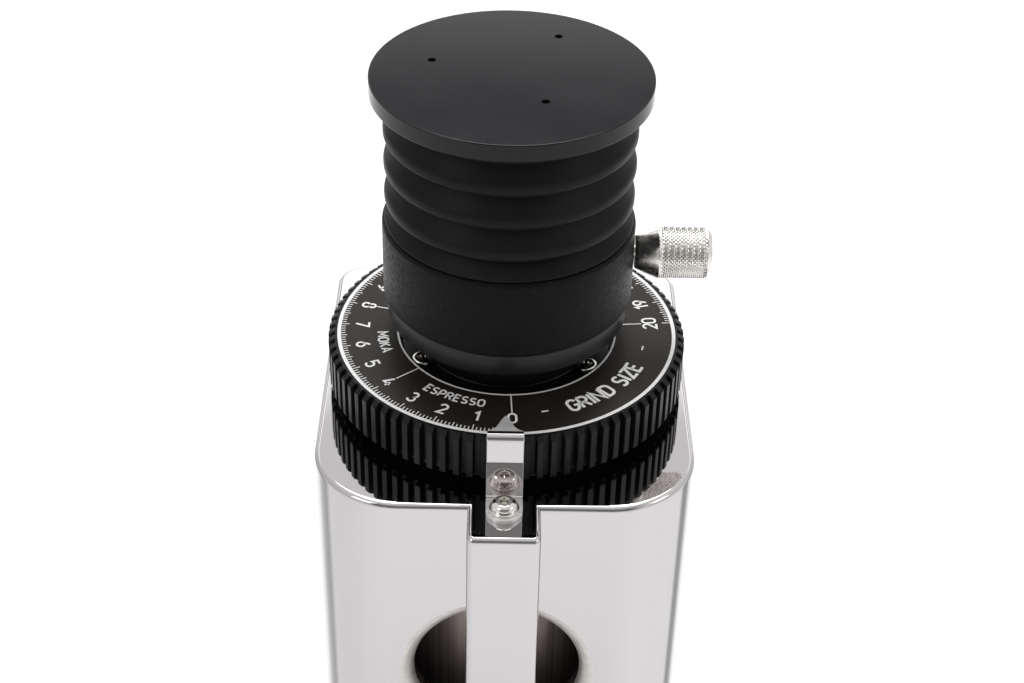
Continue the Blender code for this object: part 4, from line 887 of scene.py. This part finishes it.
# ---- Pointer ----
def build_pointer():
    thick = 1.5 * MM
    foot = BODY_TOP + 0.05 * MM
    arm = DISC_TOP + 5.0 * MM
    bend = 2.5 * MM
    front = -66 * MM
    half, end_y = 6 * MM, -78.5 * MM
    tip_y, shoulder = -55.3 * MM, -63.0 * MM
    t = thick / 2
    centre = filleted([(end_y, foot + t), (front + t, foot + t), (front + t, arm - t), (tip_y, arm - t)],
                      [0, bend - t, bend - t, 0], 10, closed=False)
    dense = [centre[0]]
    for p, q in zip(centre, centre[1:]):
        length = math.dist(p, q)
        steps = max(1, round(length / (0.35 * MM)))
        for k in range(1, steps + 1):
            dense.append((p[0] + (q[0] - p[0]) * k / steps, p[1] + (q[1] - p[1]) * k / steps))
    taper = ((0.0, 1.0), (0.06, 0.80), (0.14, 0.66), (0.28, 0.50), (0.5, 0.37), (0.72, 0.25), (0.88, 0.14),
             (1.0, 0.03))

    def width(y, z):
        if z < foot + 2 * thick and y < end_y + half:
            return math.sqrt(max(half**2 - (end_y + half - y) ** 2, (0.35 * MM) ** 2))
        if z > arm - 2 * thick and y > shoulder:
            share = (y - shoulder) / (tip_y - shoulder)
            for (s0, w0), (s1, w1) in zip(taper, taper[1:]):
                if share <= s1:
                    return half * (w0 + (w1 - w0) * (share - s0) / (s1 - s0))
        return half

    loops, foot_part, tip_part = [], [], []
    for i, (y, z) in enumerate(dense):
        before, after = dense[max(i - 1, 0)], dense[min(i + 1, len(dense) - 1)]
        d = Vector((after[0] - before[0], after[1] - before[1])).normalized()
        n = Vector((-d.y, d.x)) * thick / 2
        w = width(y, z)
        e = min(0.18 * MM, w * 0.4)
        ring = [(-(w - e), -1.0), (w - e, -1.0), (w, -0.76), (w, 0.76),
                (w - e, 1.0), (-(w - e), 1.0), (-w, 0.76), (-w, -0.76)]
        loop = [(x, y + n.x * s, z + n.y * s) for x, s in ring]
        if z < foot + thick and y < front - 1.2 * MM:
            foot_part.append(loop)
        elif z > arm - 1.2 * thick and y > shoulder - 0.4 * MM:
            tip_part.append(loop)
        else:
            loops.append(loop)
    strip = lofted([foot_part[-1]] + loops + [tip_part[0]])
    swap("pointer_bracket", "polished_steel", strip, degrees=40, weighted=True)
    piece("pointer_foot", lofted(foot_part), "satin_steel", slot="polished_steel", degrees=40, weighted=True)
    piece("pointer_tip", lofted(tip_part), "satin_steel", slot="polished_steel", degrees=40, weighted=True)
    head_z = foot + thick
    washer = filleted([(2.7 * MM, 0), (4.9 * MM, 0), (4.9 * MM, 0.9 * MM), (2.7 * MM, 0.9 * MM)], 0.2 * MM, 3)
    spot = (low("pointer_screw").y + high("pointer_screw").y) / 2 - AY
    piece("pointer_washer", turned(washer, 64), "screw_steel", slot="knurled_steel", place=(0, spot, head_z))
    swap("pointer_screw", "screw_steel", slot="knurled_steel", shape=hex_screw(4.4 * MM, 2.75 * MM, 3.0 * MM),
         place=(0, spot, head_z + 0.9 * MM))


# ---- Hopper ----
def build_hopper():
    z = DISC_TOP
    collar = filleted([
        (THROAT, z - 6.0 * MM), (36.6 * MM, z - 6.0 * MM), (36.6 * MM, z - 3.5 * MM),
        (29 * MM, z - 3.5 * MM), (29 * MM, z + 1.0 * MM), (33.2 * MM, z + 1.0 * MM),
        (33.2 * MM, z + 10.3 * MM), (41 * MM, z + 10.3 * MM), (41 * MM, z + 18.2 * MM),
        (THROAT, z + 18.2 * MM)],
        [0, 0.3 * MM, 0.6 * MM, 0.5 * MM, 0.5 * MM, 0.5 * MM, 0.5 * MM, 0.6 * MM, 0.6 * MM, 0], 5)
    swap("hopper_collar", "gloss_black", turned(collar, 160))
    for k in (1, 2, 3):
        name = f"collar_screw_{k}"
        lo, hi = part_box(name)
        place = ((lo.x + hi.x) / 2 - AX, (lo.y + hi.y) / 2 - AY, lo.z)
        screw = hex_screw(3.7 * MM, 2.2 * MM, 2.5 * MM)
        swap(name, "screw_steel", slot="knurled_steel", shape=screw, place=place)
    r = (high("hopper_body").x - low("hopper_body").x) / 2
    lip = 3.6 * MM
    z0, z1 = low("hopper_body").z, high("hopper_body").z - lip
    shape = filleted([
        (r, z0 + 0.3 * MM), (r, z1), (35.3 * MM, z1), (35.3 * MM, z1 + lip), (33.3 * MM, z1 + lip),
        (33.3 * MM, z1), (THROAT, z1 - 10.5 * MM), (THROAT, z0)],
        [1.0 * MM, 1.4 * MM, 0, 0.4 * MM, 0.4 * MM, 1.5 * MM, 1.5 * MM, 0], 6)
    bore = [(0, 0), (FLAP_SHAFT, 0), (FLAP_SHAFT, 70 * MM), (0, 70 * MM)]
    cutter = mesh_object("bore", turned(bore, 32), (-20.3 * MM, 0, KNOB_Z), ALONG_X)
    swap("hopper_body", "textured_black", turned(shape, 192), cutters=(cutter,))


def build_knob():
    start = low("gate_knob").x - AX
    end = high("gate_knob").x - AX
    radius, neck, edge = 8.8 * MM, 5.7 * MM, 0.3 * MM
    neck_end = start + 7.6 * MM
    knurl_end = end - 1.5 * MM
    length = knurl_end - neck_end - edge
    around, rows, cone_rows = 240, 104, 6
    knurls, depth, fade_rate = 40, 0.5 * MM, 14
    bands = round(length / (2 * math.pi * radius / knurls))

    def ring(r, x):
        return circle(r, x, around)

    loops = [ring(FLAP_SHAFT, start), ring(neck - edge, start), ring(neck, start + edge)]
    for k in range(1, cone_rows + 1):
        widening = (radius - 0.1 * MM - neck) * k / cone_rows
        loops.append(ring(neck + widening, start + edge + (neck_end - start - edge) * k / cone_rows))
    for j in range(rows + 1):
        v = j / rows
        fade = min(1.0, v * fade_rate, (1 - v) * fade_rate)
        loop = []
        for k in range(around):
            u = k / around * knurls
            w = v * bands
            a = abs(((u + w) % 1.0) - 0.5) * 2
            b = abs(((u - w) % 1.0) - 0.5) * 2
            r = radius - depth * (1 - min(a, b)) * fade
            angle = 2 * math.pi * k / around
            loop.append((r * math.cos(angle), r * math.sin(angle), neck_end + edge + length * v))
        loops.append(loop)
    loops += [ring(radius - edge, knurl_end + 0.2 * MM), ring(radius - 1.3 * MM, end),
              ring(radius - 3.2 * MM, end), ring(radius - 3.4 * MM, end - 0.25 * MM)]
    swap("gate_knob", "knurled_steel", lofted(loops), "gate", place=(0, 0, KNOB_Z), turn=ALONG_X, degrees=30)


def build_bellows():
    z = DISC_TOP

    def at(r, height):
        return (r * MM, z + height * MM)

    outer = [at(36.4, 47.1), at(41.2, 47.1), at(41.6, 48.0)]
    radii = [0, 0.3, 1.6]
    for valley in (52.5, 64.4, 76.3):
        outer += [at(37.0, valley), at(41.4, valley + 2.9), at(41.5, valley + 6.0)]
        radii += [0.25, 1.7, 4.0]
    outer += [at(37.6, 88.4), at(37.3, 93.2), at(35.5, 93.2), at(35.5, 91.0), at(35.8, 80.0), at(35.8, 50.6),
              at(35.8, 47.2)]
    radii += [0.6, 0.4, 0, 0, 0, 0, 0]
    profile = filleted(outer, [r * MM for r in radii], 7)
    skin = mesh_object("bellows_skin", turned(profile, 192))
    finish_piece(skin, "silicone", None, (), 50)
    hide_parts("bellows")
    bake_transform(skin)

    r, plug, plug_low = 45.7 * MM, 27.0 * MM, LID_LOW - 3 * MM
    lid = filleted([(0, plug_low), (plug, plug_low), (plug, LID_LOW),
                    (r, LID_LOW), (r, LID_TOP), (0, LID_TOP)],
                   [0, 0.5 * MM, 0.3 * MM, 0.45 * MM, 0.45 * MM, 0], 4)
    hole_radius, hole_depth, spread, offset = 1.35 * MM, 2 * MM, 25.9 * MM, 5.6 * MM
    hole = [(0, -hole_depth), (hole_radius, -hole_depth), (hole_radius, hole_depth), (0, hole_depth)]
    cutters = []
    for angle in (174, 54, -66):
        a = math.radians(angle)
        place = (spread * math.cos(a), offset + spread * math.sin(a), LID_TOP)
        cutters.append(mesh_object("hole", turned(hole, 32), place))
    swap("lid", "black_anodised", turned(lid, 192), "lid", cutters=cutters, weighted=True)


def paint_nodes():
    """Every CAD node that still shows gets its procedural finish."""
    slots = {s["node"]: s["material_slot"] for s in frame["record"]["subparts"]}
    for name, node in NODES.items():
        node.data.materials.clear()
        node.data.materials.append(PAINTS[slots[name]].material)


# ---- Studio ----
# Brightness against height of direction (0 level, 1 straight up), in front, behind and to the sides.
FRONT_SKY = ((0.0, 0.3), (0.3, 0.3), (0.45, 0.08), (1.0, 1.0))
BACK_SKY = ((0.0, 1.5), (0.43, 1.5), (0.475, 0.08), (0.515, 0.08), (0.535, 1.9), (0.585, 1.9), (0.62, 0.92),
            (1.0, 1.0))
SIDE_SKY = ((0.0, 0.8), (0.2, 0.9), (0.5, 0.85), (1.0, 1.0))
SKY_STRENGTH = 0.95
LAMPS = (
    # name, place, aim, size, power
    ("overhead", (0.0, 0.75, 1.95), (0, 0.15, 0.0), 1.1, 25.0),
    ("left", (-1.25, -1.0, 1.5), (0, 0, 0.2), 0.8, 4.0),
    ("right", (1.4, -0.5, 1.2), (0, 0, 0.25), 0.6, 1.5),
)


def build_studio():
    floor = mesh_object("floor", block((-12, 12), (-12, 12), (-0.02, 0)))
    p = Paint("studio_floor", (0.93, 0.93, 0.935), 0.6)
    p.vary_colour(p.noise(3, 2), 0.995, 1.005)
    floor.data.materials.append(p.material)

    world = bpy.data.worlds.new("studio")
    world.use_nodes = True
    bpy.context.scene.world = world
    tree = world.node_tree
    place = tree.nodes.new("ShaderNodeTexCoord")
    split = tree.nodes.new("ShaderNodeSeparateXYZ")
    tree.links.new(place.outputs["Generated"], split.inputs["Vector"])

    def spread(source, start, end):
        node = tree.nodes.new("ShaderNodeMapRange")
        node.interpolation_type = "SMOOTHSTEP"
        node.inputs["From Min"].default_value = start
        node.inputs["From Max"].default_value = end
        tree.links.new(source, node.inputs["Value"])
        return node.outputs["Result"]

    def ramp(stops):
        """Brightness against the height of the direction, 0 level to 1 straight up."""
        node = tree.nodes.new("ShaderNodeValToRGB")
        set_stops(node.color_ramp, stops)
        tree.links.new(split.outputs["Z"], node.inputs["Fac"])
        return node.outputs["Color"]

    def mixed(a, b, factor):
        node = tree.nodes.new("ShaderNodeMix")
        node.data_type = "RGBA"
        sockets = [s for s in node.inputs if s.type == "RGBA"]
        tree.links.new(a, sockets[0])
        tree.links.new(b, sockets[1])
        tree.links.new(factor, node.inputs["Factor"])
        return next(s for s in node.outputs if s.type == "RGBA")

    front = ramp(FRONT_SKY)
    back = ramp(BACK_SKY)
    side = ramp(SIDE_SKY)
    width = tree.nodes.new("ShaderNodeMath")
    width.operation = "ABSOLUTE"
    tree.links.new(split.outputs["X"], width.inputs[0])
    ahead = mixed(front, back, spread(split.outputs["Y"], -0.15, 0.15))
    colour = mixed(ahead, side, spread(width.outputs[0], 0.42, 0.72))
    tree.links.new(colour, tree.nodes["Background"].inputs["Color"])
    tree.nodes["Background"].inputs["Strength"].default_value = SKY_STRENGTH

    for name, spot, aim, size, power in LAMPS:
        lamp = bpy.data.lights.new(name, "AREA")
        lamp.size = size
        lamp.energy = power
        lamp_object = bpy.data.objects.new(name, lamp)
        lamp_object.location = (AX + spot[0], AY + spot[1], spot[2])
        lamp_object.rotation_euler = (Vector(aim) - Vector(spot)).to_track_quat("-Z", "Y").to_euler()
        bpy.context.scene.collection.objects.link(lamp_object)


# The camera: lens and sensor in mm, angles in degrees, place from the ring's axis at the disc's top.
LENS, SENSOR = 63.78, 36
TILT, ROLL, YAW = 36.094, 1.369, -0.6
CAMERA_PLACE = (2.0 * MM, -514.25 * MM, 369.31 * MM)


def build_camera():
    camera = bpy.data.cameras.new("camera")
    camera.lens = LENS
    camera.sensor_width = SENSOR
    camera.clip_start, camera.clip_end = 0.01, 50
    view = bpy.data.objects.new("camera", camera)
    tilt, roll, yaw = math.radians(TILT), math.radians(ROLL), math.radians(YAW)
    right = Vector((math.cos(roll), math.sin(roll) * math.sin(tilt), math.sin(roll) * math.cos(tilt)))
    up = Vector((-math.sin(roll), math.cos(roll) * math.sin(tilt), math.cos(roll) * math.cos(tilt)))
    back = right.cross(up)
    turn = Matrix.Rotation(yaw, 3, "Z")
    spot = turn @ Vector(CAMERA_PLACE)
    matrix = Matrix((turn @ right, turn @ up, turn @ back)).transposed().to_4x4()
    matrix.translation = Vector((AX, AY, DISC_TOP)) + spot
    view.matrix_world = matrix
    bpy.context.scene.collection.objects.link(view)
    bpy.context.scene.camera = view
    bpy.context.scene.view_settings.view_transform = "Standard"
    bpy.context.scene.view_settings.look = "None"


build_base()
build_cup()
build_housing()
build_rear()
build_spout()
build_motor()
build_ring()
build_print()
build_pointer()
build_hopper()
build_knob()
build_bellows()
paint_nodes()
build_studio()
build_camera()
bpy.context.view_layer.update()
